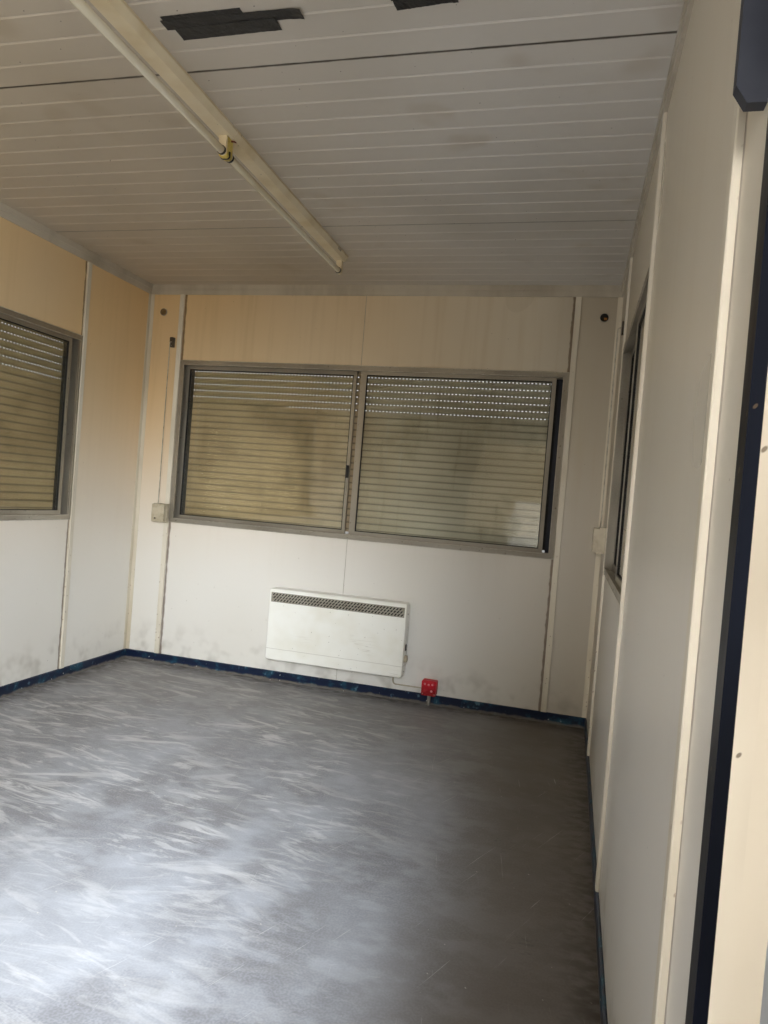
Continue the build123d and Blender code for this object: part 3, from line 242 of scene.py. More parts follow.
inside_dot = soft_step(specks, cells.outputs["Distance"], dot_radius, times(specks, dot_radius, 0.5))
chosen = maths(specks, "LESS_THAN", cell_colour.outputs[0], specks_in.outputs["Share"])
feed(specks, specks_out.inputs["Mask"], times(specks, inside_dot, chosen))
print("group made:", specks.name)

# %% [markdown]
# A wet mop and dragging feet leave smears: pale, curled at their ends and wider than a scratch. The
# place is turned and squeezed, and the noise's own distortion curls it. A second noise keeps the
# smears apart, so that bare floor shows between them.

# %% Node group: smears
smears, smears_in, smears_out = new_group(
    "smears",
    [("Place", "NodeSocketVector", (0, 0, 0)), ("Turn", "NodeSocketFloat", 0.0),
     ("Size", "NodeSocketFloat", 0.2), ("From", "NodeSocketFloat", 0.5), ("To", "NodeSocketFloat", 0.7)],
    [("Mask", "NodeSocketFloat")])
turned = add_node(smears, "ShaderNodeVectorRotate", rotation_type="Z_AXIS")
feed(smears, turned.inputs["Vector"], smears_in.outputs["Place"])
feed(smears, turned.inputs["Angle"], smears_in.outputs["Turn"])
squeezed = add_node(smears, "ShaderNodeVectorMath", operation="MULTIPLY")
feed(smears, squeezed.inputs[0], turned.outputs[0])
squeezed.inputs[1].default_value = (0.55, 2.6, 1)
smear_noise = add_node(smears, "ShaderNodeTexNoise")
feed(smears, smear_noise.inputs["Vector"], squeezed.outputs[0])
feed(smears, smear_noise.inputs["Scale"], maths(smears, "DIVIDE", 1.0, smears_in.outputs["Size"]))
smear_noise.inputs["Detail"].default_value = 4.0
smear_noise.inputs["Roughness"].default_value = 0.68
smear_noise.inputs["Distortion"].default_value = 0.7
apart_noise = add_node(smears, "ShaderNodeTexNoise")
feed(smears, apart_noise.inputs["Vector"], smears_in.outputs["Place"])
feed(smears, apart_noise.inputs["Scale"], maths(smears, "DIVIDE", 0.35, smears_in.outputs["Size"]))
apart_noise.inputs["Detail"].default_value = 1.0
smear = soft_step(smears, smear_noise.outputs["Fac"], smears_in.outputs["From"], smears_in.outputs["To"])
feed(smears, smears_out.inputs["Mask"],
     times(smears, smear, soft_step(smears, apart_noise.outputs["Fac"], 0.38, 0.62)))
print("group made:", smears.name)

# %% [markdown]
# A scuff or a scratch is long and thin. Here a noise is stretched strongly along one direction and
# only the narrow band round its middle value is kept, which draws thin wandering lines. A second,
# coarser noise breaks them up, so that they come in patches where furniture and boots have been.

# %% Node group: scuffs
scuffs, scuffs_in, scuffs_out = new_group(
    "scuffs",
    [("Place", "NodeSocketVector", (0, 0, 0)), ("Stretch", "NodeSocketVector", (1, 6, 1)),
     ("Size", "NodeSocketFloat", 0.2), ("Width", "NodeSocketFloat", 0.02), ("Share", "NodeSocketFloat", 0.5)],
    [("Mask", "NodeSocketFloat")])
scuff_place = add_node(scuffs, "ShaderNodeVectorMath", operation="MULTIPLY")
feed(scuffs, scuff_place.inputs[0], scuffs_in.outputs["Place"])
feed(scuffs, scuff_place.inputs[1], scuffs_in.outputs["Stretch"])
scuff_noise = add_node(scuffs, "ShaderNodeTexNoise")
feed(scuffs, scuff_noise.inputs["Vector"], scuff_place.outputs[0])
feed(scuffs, scuff_noise.inputs["Scale"], maths(scuffs, "DIVIDE", 1.0, scuffs_in.outputs["Size"]))
scuff_noise.inputs["Detail"].default_value = 2.0
off_middle = maths(scuffs, "ABSOLUTE", maths(scuffs, "SUBTRACT", scuff_noise.outputs["Fac"], 0.5))
thin_line = soft_step(scuffs, off_middle, scuffs_in.outputs["Width"], 0.0)
patch_noise = add_node(scuffs, "ShaderNodeTexNoise")
feed(scuffs, patch_noise.inputs["Vector"], scuffs_in.outputs["Place"])
feed(scuffs, patch_noise.inputs["Scale"], maths(scuffs, "DIVIDE", 0.6, scuffs_in.outputs["Size"]))
patch_noise.inputs["Detail"].default_value = 1.0
patch_from = maths(scuffs, "SUBTRACT", 0.75, times(scuffs, scuffs_in.outputs["Share"], 0.4))
patch_mask = soft_step(scuffs, patch_noise.outputs["Fac"], patch_from, maths(scuffs, "ADD", patch_from, 0.12))
feed(scuffs, scuffs_out.inputs["Mask"], times(scuffs, thin_line, patch_mask))
print("group made:", scuffs.name)

# %% [markdown]
# Dirt collects in lines: beside a joint strip, under a cornice and along a skirting. This group
# takes one coordinate and draws a soft line at a given place. A noise moves its edge a little,
# so that it looks like dirt and not like a painted stripe.

# %% Node group: dirt line
dirt_line, dirt_in, dirt_out = new_group(
    "dirt_line",
    [("Place", "NodeSocketVector", (0, 0, 0)), ("Across", "NodeSocketFloat", 0.0),
     ("Middle", "NodeSocketFloat", 0.0), ("Width", "NodeSocketFloat", 0.01),
     ("Softness", "NodeSocketFloat", 0.01), ("Ragged", "NodeSocketFloat", 0.005)],
    [("Mask", "NodeSocketFloat")])
edge_noise = add_node(dirt_line, "ShaderNodeTexNoise")
feed(dirt_line, edge_noise.inputs["Vector"], dirt_in.outputs["Place"])
edge_noise.inputs["Scale"].default_value = 22.0
edge_noise.inputs["Detail"].default_value = 2.0
wander = times(dirt_line, maths(dirt_line, "SUBTRACT", edge_noise.outputs["Fac"], 0.5),
               dirt_in.outputs["Ragged"])
off_line = maths(dirt_line, "SUBTRACT", dirt_in.outputs["Across"], dirt_in.outputs["Middle"])
off_line = maths(dirt_line, "ABSOLUTE", maths(dirt_line, "ADD", off_line, wander))
half_width = times(dirt_line, dirt_in.outputs["Width"], 0.5)
feed(dirt_line, dirt_out.inputs["Mask"],
     soft_step(dirt_line, off_line, maths(dirt_line, "ADD", half_width, dirt_in.outputs["Softness"]), half_width))
print("group made:", dirt_line.name)

# %% [markdown]
# Sprayed lacquer and moulded plastic are never flat: a fine ripple breaks up their reflections. The
# group gives a height, which feeds a Bump node in each material.

# %% Node group: fine ripple
ripple, ripple_in, ripple_out = new_group(
    "fine_ripple",
    [("Place", "NodeSocketVector", (0, 0, 0)), ("Size", "NodeSocketFloat", 0.004)],
    [("Height", "NodeSocketFloat")])
ripple_noise = add_node(ripple, "ShaderNodeTexNoise")
feed(ripple, ripple_noise.inputs["Vector"], ripple_in.outputs["Place"])
feed(ripple, ripple_noise.inputs["Scale"], maths(ripple, "DIVIDE", 1.0, ripple_in.outputs["Size"]))
ripple_noise.inputs["Detail"].default_value = 0.0
feed(ripple, ripple_out.inputs["Height"], ripple_noise.outputs["Fac"])
print("group made:", ripple.name)


# %% [markdown]
# Every finish starts in the same way: a material whose pattern reads Object coordinates, which are
# the cabin's own metres because every object sits at the origin. The helper gives the tree, the
# shader and the three coordinates. The next two join the layers to the shader, and the last one
# puts a finish on CAD nodes through their material slots.

# %% Start a finish
def start_finish(name, roughness, metallic=0.0):
    """A material with the parts that every finish uses."""
    material = bpy.data.materials.new(name)
    material.use_nodes = True
    tree = material.node_tree
    shader = tree.nodes["Principled BSDF"]
    shader.inputs["Roughness"].default_value = roughness
    shader.inputs["Metallic"].default_value = metallic
    add_node(tree, "ShaderNodeTexCoord")
    parts = add_node(tree, "ShaderNodeSeparateXYZ")
    tree.links.new(object_place(tree), parts.inputs[0])
    return material, tree, shader, parts.outputs


def add_bump(tree, shader, height, distance, strength=1.0):
    """Lets a height tilt the surface, without changing its outline."""
    bump = add_node(tree, "ShaderNodeBump")
    bump.inputs["Distance"].default_value = distance
    bump.inputs["Strength"].default_value = strength
    feed(tree, bump.inputs["Height"], height)
    tree.links.new(bump.outputs["Normal"], shader.inputs["Normal"])


def add_surface(tree, shader, colour, roughness, height, distance, strength=1.0):
    """Joins the layers to the shader: their colour, a roughness (mask, range, base) and a bump."""
    feed(tree, shader.inputs["Base Color"], colour)
    feed(tree, shader.inputs["Roughness"], maths(tree, "MULTIPLY_ADD", *roughness))
    add_bump(tree, shader, height, distance, strength)


def finish_nodes(material, *names):
    """Puts a finish on CAD nodes, through their material slots."""
    for name in names:
        slots = cabin_nodes[name].material_slots
        if not slots:
            cabin_nodes[name].data.materials.append(material)
        for slot in slots:
            slot.material = material


# %% [markdown]
# ## The room's lacquered walls
# The wall panels are thin steel sheets with a cream lacquer. Near the ceiling they are painted
# yellower and darker, most on the left: partly lacquer aged by smoke and sun, partly painted warm
# shade where only light bounced off the walls reaches. Up close the panels carry faint grey clouds
# from hands, ochre streaks that ran down from the ceiling, and a dark line beside each joint. The
# far right corner is painted darker, a painted shade. Outside, the same panels stay cream, but rain
# has drawn grey streaks on them. How far a point is from the room's middle tells the two sides of a
# panel apart. One function makes the finish. Each wall gives it one joint's place and the panel
# pitch, and a pingpong of the coordinate then measures how far the nearest joint is.

# %% Finish of the wall panels
def wall_finish(name, joint_axis, one_joint, pitch, line_width, run_strength):
    """Cream lacquer, yellower and darker high indoors from age and painted warm shade, a far corner in painted
    shade, with clouds, streaks, and a dark rusty line at each joint.
    """
    material, tree, shader, along = start_finish(name, 0.3)
    indoors = times(tree, soft_step(tree, maths(tree, "ABSOLUTE", along[0]), 1.420, 1.400),
                    soft_step(tree, maths(tree, "ABSOLUTE", along[1]), 2.940, 2.920))
    high = times(tree, indoors, soft_step(tree, along[2], floor_level + 0.40, floor_level + 1.9))
    # Partly painted warm shade: high up, most on the left, the colour is yellower and darker, both aged lacquer and
    # warm bounce light with shade.
    yellowed_and_warm_shade = blend_colours(tree, soft_step(tree, along[0], -1.3, 1.3), paint(228, 196, 144), paint(214, 205, 186))
    colour = blend_colours(tree, high, paint(233, 231, 226), yellowed_and_warm_shade)
    # Painted shade: the far right corner of the room is darkened in the colour.
    corner = times(tree, soft_step(tree, along[0], 0.9, 1.36), soft_step(tree, along[1], 1.4, 2.5))
    colour = lay(tree, colour, paint(160, 148, 128), times(tree, corner, indoors), 0.72)
    clouds_mask = use_group(tree, stains, Size=0.9, From=0.2, To=0.95, Detail=1.0)
    colour = lay(tree, colour, paint(206, 198, 180), clouds_mask, 0.4)
    runs = use_group(tree, stains, Stretch=(6, 6, 0.35), Size=0.35, From=0.45, To=0.95, Detail=2.0)
    colour = lay(tree, colour, paint(178, 152, 108), times(tree, runs, high), run_strength)
    outdoors = maths(tree, "SUBTRACT", 1.0, indoors)
    colour = lay(tree, colour, paint(176, 170, 156), times(tree, runs, outdoors), 0.8)
    low = soft_step(tree, along[2], floor_level + 0.30, floor_level + 0.05)
    splash = use_group(tree, stains, Size=0.12, From=0.45, To=0.75, Detail=2.0)
    colour = lay(tree, colour, paint(150, 143, 128), times(tree, splash, low), 0.5)
    dots = use_group(tree, specks, Spacing=0.09, Radius=0.028, Share=0.28)
    colour = lay(tree, colour, paint(112, 92, 66), dots, 0.7)
    from_joint = maths(tree, "PINGPONG", maths(tree, "SUBTRACT", along[joint_axis], one_joint), pitch / 2)
    line = use_group(tree, dirt_line, Across=from_joint, Width=line_width, Softness=0.006, Ragged=0.014)
    colour = lay(tree, colour, paint(92, 68, 42), line, 0.75)
    add_surface(tree, shader, colour, (clouds_mask, 0.12, 0.27), use_group(tree, ripple, Size=0.018), 0.0004, 0.35)
    return material


side_joint, side_pitch, side_line = -0.020, 1.160, 0.006
end_joint, end_pitch, end_line = -1.138, 2.277, 0.008
end_wall_finish = wall_finish("cream_end_wall", 0, end_joint, end_pitch, end_line, 0.4)
left_wall_finish = wall_finish("cream_left_wall", 1, side_joint, side_pitch, side_line, 0.2)
right_wall_finish = wall_finish("cream_right_wall", 1, side_joint, side_pitch, side_line, 0.12)
finish_nodes(end_wall_finish, "back_wall_side_panels", "back_wall_window_panels", "front_wall_panels")
finish_nodes(left_wall_finish, "left_wall_panels", "left_wall_window_panels")
finish_nodes(right_wall_finish, "right_wall_panels", "right_wall_window_panels", "door_panel")
print("walls finished")

# %% [markdown]
# The joint strips, cornice and corner trims are folded steel strips in the same cream, a little
# greyer from handling. Rust creeps out from under their edges, more near the floor.

# %% Finish of strips and trims
def strip_finish(name, base, worn):
    """Cream steel strip, with grey handling marks and rust spots low down."""
    material, tree, shader, along = start_finish(name, 0.34)
    handled = use_group(tree, stains, Stretch=(1, 1, 0.3), Size=0.2, From=0.4, To=0.75)
    colour = lay(tree, base, worn, handled, 0.7)
    rust_dots = use_group(tree, specks, Spacing=0.022, Radius=0.22, Share=0.22)
    low = soft_step(tree, along[2], floor_level + 1.2, floor_level + 0.1)
    rust = times(tree, rust_dots, maths(tree, "MULTIPLY_ADD", low, 0.6, 0.15))
    colour = blend_colours(tree, rust, colour, paint(112, 70, 38))
    add_surface(tree, shader, colour, (handled, 0.15, 0.3), use_group(tree, ripple, Size=0.012), 0.0004, 0.4)
    return material


finish_nodes(strip_finish("cream_joint_strips", paint(226, 219, 203), paint(196, 186, 166)), "panel_joint_strips")
finish_nodes(strip_finish("cream_corner_trims", paint(222, 214, 196), paint(190, 178, 154)), "corner_trims")
finish_nodes(strip_finish("grey_cornice", paint(196, 188, 172), paint(158, 148, 130)), "cornice")
print("strips finished")

# %% [markdown]
# The door frame's inner flange is painted navy on its room side and white in the reveal, which is
# what the dark stripe at the right of the picture is. Both come from one material that changes at
# one depth, since the paint line on the real frame runs along the same fold.

# %% Finish of the door frame and leaf
frame_paint, tree, shader, along = start_finish("door_frame_paint", 0.32)
worn = use_group(tree, stains, Stretch=(1, 1, 0.25), Size=0.16, From=0.45, To=0.75)
shader.inputs["Specular IOR Level"].default_value = 0.2
white = lay(tree, paint(216, 205, 186), paint(174, 161, 139), worn, 0.6)
# Partly painted shade: this navy is near-black, far darker than the frame's navy outside, and also stands for the
# shade on the flange and in the rebate.
navy = lay(tree, paint(8, 11, 20), paint(20, 27, 44), worn, 0.5)
past_fold = soft_step(tree, along[0], 1.3915, 1.3925)
colour = blend_colours(tree, past_fold, navy, white)
chips = use_group(tree, specks, Spacing=0.06, Radius=0.09, Share=0.3)
colour = lay(tree, colour, paint(96, 80, 62), chips, 0.8)
add_surface(tree, shader, colour, (worn, 0.2, 0.3), use_group(tree, ripple, Size=0.01), 0.0003, 0.4)
finish_nodes(frame_paint, "door_frame")

leaf_paint, tree, shader, along = start_finish("door_leaf_paint", 0.32)
worn = use_group(tree, stains, Stretch=(1, 1, 0.4), Size=0.3, From=0.42, To=0.75)
kicked = soft_step(tree, along[2], 0.55, 0.2)
boot_marks = use_group(tree, scuffs, Stretch=(1, 2, 5), Size=0.12, Width=0.03, Share=0.7)
colour = lay(tree, paint(230, 224, 210), paint(200, 191, 172), worn, 0.5)
colour = lay(tree, colour, paint(70, 66, 60), boot_marks, kicked)
add_surface(tree, shader, colour, (worn, 0.15, 0.3), use_group(tree, ripple, Size=0.014), 0.0004, 0.4)
finish_nodes(leaf_paint, "door_leaf_panel")
finish_nodes(strip_finish("door_leaf_edge", paint(226, 222, 212), paint(180, 172, 156)), "door_leaf_frame")
print("door painted")

# %% [markdown]
# ## The steel frame outside
# Posts and rails are welded from folded steel and painted navy. Rain and transport leave three
# marks: chalky fading on broad faces, rust at the lower rails and corners, and long pale scratches
# where chains and forks have touched.

# %% Finish of the navy frame
def navy_finish(name, rust_from, rust_to):
    """Navy paint, faded in clouds, with rust that grows between two heights."""
    material, tree, shader, along = start_finish(name, 0.42)
    faded = use_group(tree, stains, Size=0.6, From=0.38, To=0.8)
    colour = blend_colours(tree, faded, paint(26, 42, 74), paint(52, 72, 106))
    scratch = use_group(tree, scuffs, Stretch=(2, 2, 7), Size=0.25, Width=0.012, Share=0.5)
    colour = lay(tree, colour, paint(120, 130, 146), scratch, 0.6)
    rust_cloud = use_group(tree, stains, Size=0.14, From=0.56, To=0.66)
    low = soft_step(tree, along[2], rust_to, rust_from)
    rust = times(tree, rust_cloud, low)
    colour = lay(tree, colour, paint(104, 62, 36), rust, 0.85)
    add_surface(tree, shader, colour, (rust, 0.35, 0.4), use_group(tree, ripple, Size=0.02), 0.0008, 0.4)
    return material


finish_nodes(navy_finish("navy_base", 0.0, 0.5), "base_side_rails", "base_end_rails", "fork_pockets",
             "floor_joists", "centre_beam")
finish_nodes(navy_finish("navy_posts", 0.1, 1.4), "corner_posts")
finish_nodes(navy_finish("navy_roof", 2.4, 3.6), "roof_side_rails", "roof_end_rails", "corner_blocks",
             "lifting_lugs")
print("frame painted")

# %% [markdown]
# Galvanised steel shows zinc flowers: flat crystals of slightly different grey. A Voronoi pattern
# gives each crystal its own tone, and the same tone changes how sharply it reflects.

# %% Finish of galvanised and roof steel
def zinc_finish(name, light, dark, crystal, metallic, rough):
    """Zinc with crystals, and white bloom where it has stayed wet."""
    material, tree, shader, along = start_finish(name, rough, metallic)
    crystals = add_node(tree, "ShaderNodeTexVoronoi")
    tree.links.new(object_place(tree), crystals.inputs["Vector"])
    crystals.inputs["Scale"].default_value = 1 / crystal
    tone = add_node(tree, "ShaderNodeSeparateColor")
    tree.links.new(crystals.outputs["Color"], tone.inputs[0])
    colour = blend_colours(tree, tone.outputs[0], dark, light)
    bloom = use_group(tree, stains, Size=0.25, From=0.55, To=0.75)
    colour = lay(tree, colour, paint(196, 196, 190), bloom, 0.5)
    add_surface(tree, shader, colour, (tone.outputs[1], 0.18, rough), use_group(tree, ripple, Size=0.03), 0.0006,
                0.3)
    return material


finish_nodes(zinc_finish("galvanised", paint(168, 172, 174), paint(128, 132, 136), 0.012, 0.85, 0.35),
             "frame_hinges", "leaf_hinges", "roof_joists")
finish_nodes(zinc_finish("roof_zinc", paint(176, 180, 182), paint(142, 147, 150), 0.02, 0.7, 0.4), "roof_sheet")

board, tree, shader, along = start_finish("floor_board_flakes", 0.75)
flakes = add_node(tree, "ShaderNodeTexVoronoi")
tree.links.new(object_place(tree), flakes.inputs["Vector"])
flakes.inputs["Scale"].default_value = 45
flake_tone = add_node(tree, "ShaderNodeSeparateColor")
tree.links.new(flakes.outputs["Color"], flake_tone.inputs[0])
feed(tree, shader.inputs["Base Color"],
     blend_colours(tree, flake_tone.outputs[0], paint(132, 104, 72), paint(176, 146, 106)))
add_bump(tree, shader, flake_tone.outputs[1], 0.0004, 0.5)
finish_nodes(board, "floor_board")
print("zinc and board finished")

# %% [markdown]
# ## Floor, ceiling and skirting
# The floor is one sheet of grey vinyl, the busiest surface in the room. Its finish is built in
# layers: a fine grain and a mottle, large clouds of dried dust, pale wisps from a wet mop in the
# half by the left wall, a brown painted shade along the right wall, a darkening towards the end
# wall, long scratches from dragged furniture, boot scuffs, paint drops, and grit along the skirting.

# %% Finish of the floor sheet
vinyl, tree, shader, along = start_finish("grey_vinyl", 0.5)
grain = use_group(tree, stains, Size=0.006, From=0.3, To=0.7, Detail=0.0)
colour = blend_colours(tree, grain, paint(136, 137, 142), paint(155, 156, 162))
mottle = use_group(tree, stains, Stretch=(0.8, 1.4, 1), Size=0.05, From=0.36, To=0.66, Detail=2.0)
colour = lay(tree, colour, paint(116, 115, 116), mottle, 0.35)
broad = use_group(tree, stains, Size=0.9, From=0.3, To=0.75, Detail=1.0)
colour = lay(tree, colour, paint(118, 116, 116), broad, 0.5)
dust = use_group(tree, stains, Stretch=(1.0, 0.7, 1), Size=0.4, From=0.42, To=0.68, Detail=2.0)
colour = lay(tree, colour, paint(182, 185, 192), dust, 0.5)
patches = use_group(tree, stains, Stretch=(0.8, 1.2, 1), Size=0.16, From=0.46, To=0.62)
colour = lay(tree, colour, paint(190, 193, 200), patches, 0.3)
mopped_zone = times(tree, soft_step(tree, along[0], 1.0, 0.2),
                    maths(tree, "MULTIPLY_ADD", soft_step(tree, along[1], 0.6, 1.3), 0.6, 0.4))
for turn, size, levels, strength in ((10, 0.15, (0.51, 0.64), 0.75), (-16, 0.20, (0.53, 0.65), 0.65),
                                     (2, 0.07, (0.52, 0.65), 0.6)):
    smear = use_group(tree, smears, Turn=math.radians(turn), Size=size, From=levels[0], To=levels[1])
    mopped = times(tree, smear, mopped_zone)
    colour = lay(tree, colour, paint(214, 213, 213), mopped, strength)
# Painted shade: along the right wall, where the doorway's light doesn't reach, the floor is darkened in the colour.
right_painted_shade = soft_step(tree, along[0], 0.75, 1.15)
colour = lay(tree, colour, paint(104, 94, 84), right_painted_shade, 0.75)
# The floor is darker towards the end wall.
darker_towards_end = soft_step(tree, along[1], 1.7, 2.8)
colour = lay(tree, colour, paint(122, 117, 111), darker_towards_end, 0.5)
for turn, stretch, levels, strength in ((-8, (90, 1.5, 1), (0.70, 0.76), 0.5),
                                        (24, (80, 1.2, 1), (0.68, 0.75), 0.45),
                                        (62, (70, 2.5, 1), (0.71, 0.77), 0.4)):
    scratch_place = add_node(tree, "ShaderNodeMapping")
    tree.links.new(object_place(tree), scratch_place.inputs["Vector"])
    scratch_place.inputs["Rotation"].default_value = (0, 0, math.radians(turn))
    scratch = use_group(tree, stains, Place=scratch_place.outputs[0], Stretch=stretch, Size=0.5, From=levels[0],
                        To=levels[1])
    colour = lay(tree, colour, paint(220, 219, 216), scratch, strength)
boots = use_group(tree, scuffs, Stretch=(1, 5, 1), Size=0.12, Width=0.012, Share=0.3)
colour = lay(tree, colour, paint(66, 64, 64), boots, 0.4)
drops = use_group(tree, specks, Spacing=0.07, Radius=0.05, Share=0.2)
colour = lay(tree, colour, paint(198, 194, 186), drops, 0.75)
far_from_end = maths(tree, "SUBTRACT", end_face, along[1])
far_from_left = maths(tree, "ADD", along[0], right_face)
far_from_right = maths(tree, "SUBTRACT", right_face, along[0])
to_wall = maths(tree, "MINIMUM", far_from_end, maths(tree, "MINIMUM", far_from_left, far_from_right))
edge_dirt = times(tree, soft_step(tree, to_wall, 0.16, 0.0), mottle)
colour = lay(tree, colour, paint(74, 66, 58), edge_dirt, 0.7)
add_surface(tree, shader, colour, (dust, 0.22, 0.42), use_group(tree, ripple, Size=0.012), 0.0008, 0.35)
finish_nodes(vinyl, "floor_covering")
print("floor finished")

# %% [markdown]
# The ceiling panels are the same steel with pressed ribs. They are greyer than the walls, warmer
# towards the left as painted warm bounce light, with a painted highlight along each rib, dark ends
# where two panels meet, faint rings from old leaks and small black spots. The ribs and the sheet
# joints repeat, so a pingpong of the Y coordinate finds each of them from one place and one pitch.

# %% Finish of the ceiling
rib_pitch = 0.0958
rib_start = 0.893
sheet_pitch = 1.150
ceiling_joints = [rib_start + steps * sheet_pitch for steps in (1, 0, -1, -2, -3)]
ceiling_paint, tree, shader, along = start_finish("grey_cream_ceiling", 0.36)
broad = use_group(tree, stains, Size=0.8, From=0.35, To=0.75, Detail=1.0)
# Painted warm light: the ceiling's colour is warmer towards the left.
warm_tone = blend_colours(tree, broad, paint(196, 184, 165), paint(186, 173, 152))
cool_tone = blend_colours(tree, broad, paint(212, 208, 202), paint(198, 193, 184))
colour = blend_colours(tree, soft_step(tree, along[0], -0.6, 1.1), warm_tone, cool_tone)
rib_place = maths(tree, "PINGPONG", maths(tree, "SUBTRACT", along[1], rib_start), rib_pitch / 2)
# Painted highlight: a pale line along each rib.
rib_highlight = soft_step(tree, rib_place, 0.006, 0.002)
colour = lay(tree, colour, paint(222, 217, 206), rib_highlight, 0.08)
from_joint = maths(tree, "PINGPONG", maths(tree, "SUBTRACT", along[1], rib_start), sheet_pitch / 2)
line = use_group(tree, dirt_line, Across=from_joint, Width=0.004, Softness=0.005, Ragged=0.004)
line_strength = maths(tree, "MULTIPLY_ADD", soft_step(tree, along[1], 2.0, 0.9), 0.35, 0.5)
colour = lay(tree, colour, paint(58, 50, 40), line, line_strength)
leak = use_group(tree, stains, Size=0.3, From=0.6, To=0.74, Detail=2.0)
colour = lay(tree, colour, paint(158, 138, 104), leak, 0.28)
spots = use_group(tree, specks, Spacing=0.11, Radius=0.03, Share=0.4)
colour = lay(tree, colour, paint(70, 58, 44), spots, 0.85)
add_surface(tree, shader, colour, (broad, 0.15, 0.32), use_group(tree, ripple, Size=0.025), 0.0006, 0.35)
finish_nodes(ceiling_paint, "ceiling_panels")
print("ceiling finished, rib pitch", rib_pitch)

# %% [markdown]
# The skirting is a plastic strip in dark navy. Years of mopping have rubbed teal and pale blue
# patches into it, its lower edge is ragged with floor dirt, and wall paint has dripped on it.

# %% Finish of the skirting
skirting_paint, tree, shader, along = start_finish("navy_skirting", 0.42)
rubbed = use_group(tree, stains, Size=0.07, From=0.5, To=0.7)
colour = lay(tree, paint(17, 30, 56), paint(38, 84, 104), rubbed, 0.75)
pale = use_group(tree, stains, Size=0.035, From=0.62, To=0.72)
colour = lay(tree, colour, paint(110, 140, 158), pale, 0.6)
ragged = use_group(tree, dirt_line, Across=along[2], Middle=floor_level, Width=0.012,
                   Softness=0.012, Ragged=0.03)
colour = lay(tree, colour, paint(118, 112, 104), ragged, 0.8)
drips = use_group(tree, specks, Spacing=0.03, Radius=0.16, Share=0.16)
colour = lay(tree, colour, paint(206, 204, 196), drips, 0.85)
add_surface(tree, shader, colour, (rubbed, 0.2, 0.38), rubbed, 0.0006, 0.5)
finish_nodes(skirting_paint, "skirting")
print("skirting finished")

# %% [markdown]
# ## Windows
# Frames and sashes are drawn aluminium. Drawing leaves fine lines along the bar, so the metal's
# roughness varies across its length, and grey oxide dulls it. Metal needs something bright to
# reflect, which here is the pale world round the cabin.

# %% Finish of the aluminium
aluminium, tree, shader, along = start_finish("drawn_aluminium", 0.34, 0.8)
oxide = use_group(tree, stains, Size=0.3, From=0.25, To=0.85, Detail=1.0)
colour = blend_colours(tree, oxide, paint(184, 179, 168), paint(160, 153, 140))
draw_lines = use_group(tree, stains, Size=0.004, From=0.3, To=0.7, Detail=0.0)
colour = lay(tree, colour, paint(196, 193, 184), draw_lines, 0.2)
grime_dots = use_group(tree, specks, Spacing=0.03, Radius=0.14, Share=0.2)
colour = lay(tree, colour, paint(74, 68, 58), grime_dots, 0.7)
add_surface(tree, shader, colour, (oxide, 0.25, 0.3), draw_lines, 0.0002, 0.4)
finish_nodes(aluminium, "window_frames", "window_sashes")
print("aluminium finished")

# %% [markdown]
# Window glass is thin, so it is a Principled shader with full transmission. Its shadow would be
# solid in a path tracer without caustics, so a Light Path node makes it see-through for shadow
# rays. Dust and dried drops make it rough in places.

# %% Finish of the glass
glass = bpy.data.materials.new("dusty_window_glass")
glass.use_nodes = True
tree = glass.node_tree
shader = tree.nodes["Principled BSDF"]
shader.inputs["Transmission Weight"].default_value = 1.0
shader.inputs["IOR"].default_value = 1.45
shader.inputs["Specular IOR Level"].default_value = 0.2
shader.inputs["Metallic"].default_value = 0.0
add_node(tree, "ShaderNodeTexCoord")
dust = use_group(tree, stains, Size=0.2, From=0.5, To=0.85)
feed(tree, shader.inputs["Base Color"], blend_colours(tree, dust, paint(246, 249, 246), paint(222, 224, 216)))
feed(tree, shader.inputs["Roughness"], maths(tree, "MULTIPLY_ADD", dust, 0.12, 0.015))
clear = add_node(tree, "ShaderNodeBsdfTransparent")
clear.inputs["Color"].default_value = paint(240, 244, 240)
shadow_or_glass = add_node(tree, "ShaderNodeMixShader")
light_path = add_node(tree, "ShaderNodeLightPath")
tree.links.new(light_path.outputs["Is Shadow Ray"], shadow_or_glass.inputs[0])
tree.links.new(shader.outputs[0], shadow_or_glass.inputs[1])
tree.links.new(clear.outputs[0], shadow_or_glass.inputs[2])
tree.links.new(shadow_or_glass.outputs[0], tree.nodes["Material Output"].inputs["Surface"])
finish_nodes(glass, "window_glass")
print("glass finished")

# %% [markdown]
# ## Plastic, enamel and small fittings
# Moulded plastic shows a fine texture and yellows or greys with age. One function serves all of
# them. Its values are the two ends of the colour, how rough the piece is, and the size of its dirt.

# %% Finish of the moulded pieces
def moulded_finish(name, fresh, aged, rough, dirt=0.4, patch=0.06):
    """Moulded plastic or enamel: aged in clouds, with dirt in small specks."""
    material, tree, shader, along = start_finish(name, rough)
    age = use_group(tree, stains, Size=patch, From=0.38, To=0.75)
    colour = blend_colours(tree, age, fresh, aged)
    dirt_dots = use_group(tree, specks, Spacing=patch / 3, Radius=0.12, Share=0.25)
    colour = lay(tree, colour, paint(66, 56, 44), dirt_dots, dirt)
    add_surface(tree, shader, colour, (age, 0.15, rough), use_group(tree, ripple, Size=0.0012), 0.00012, 0.5)
    return material


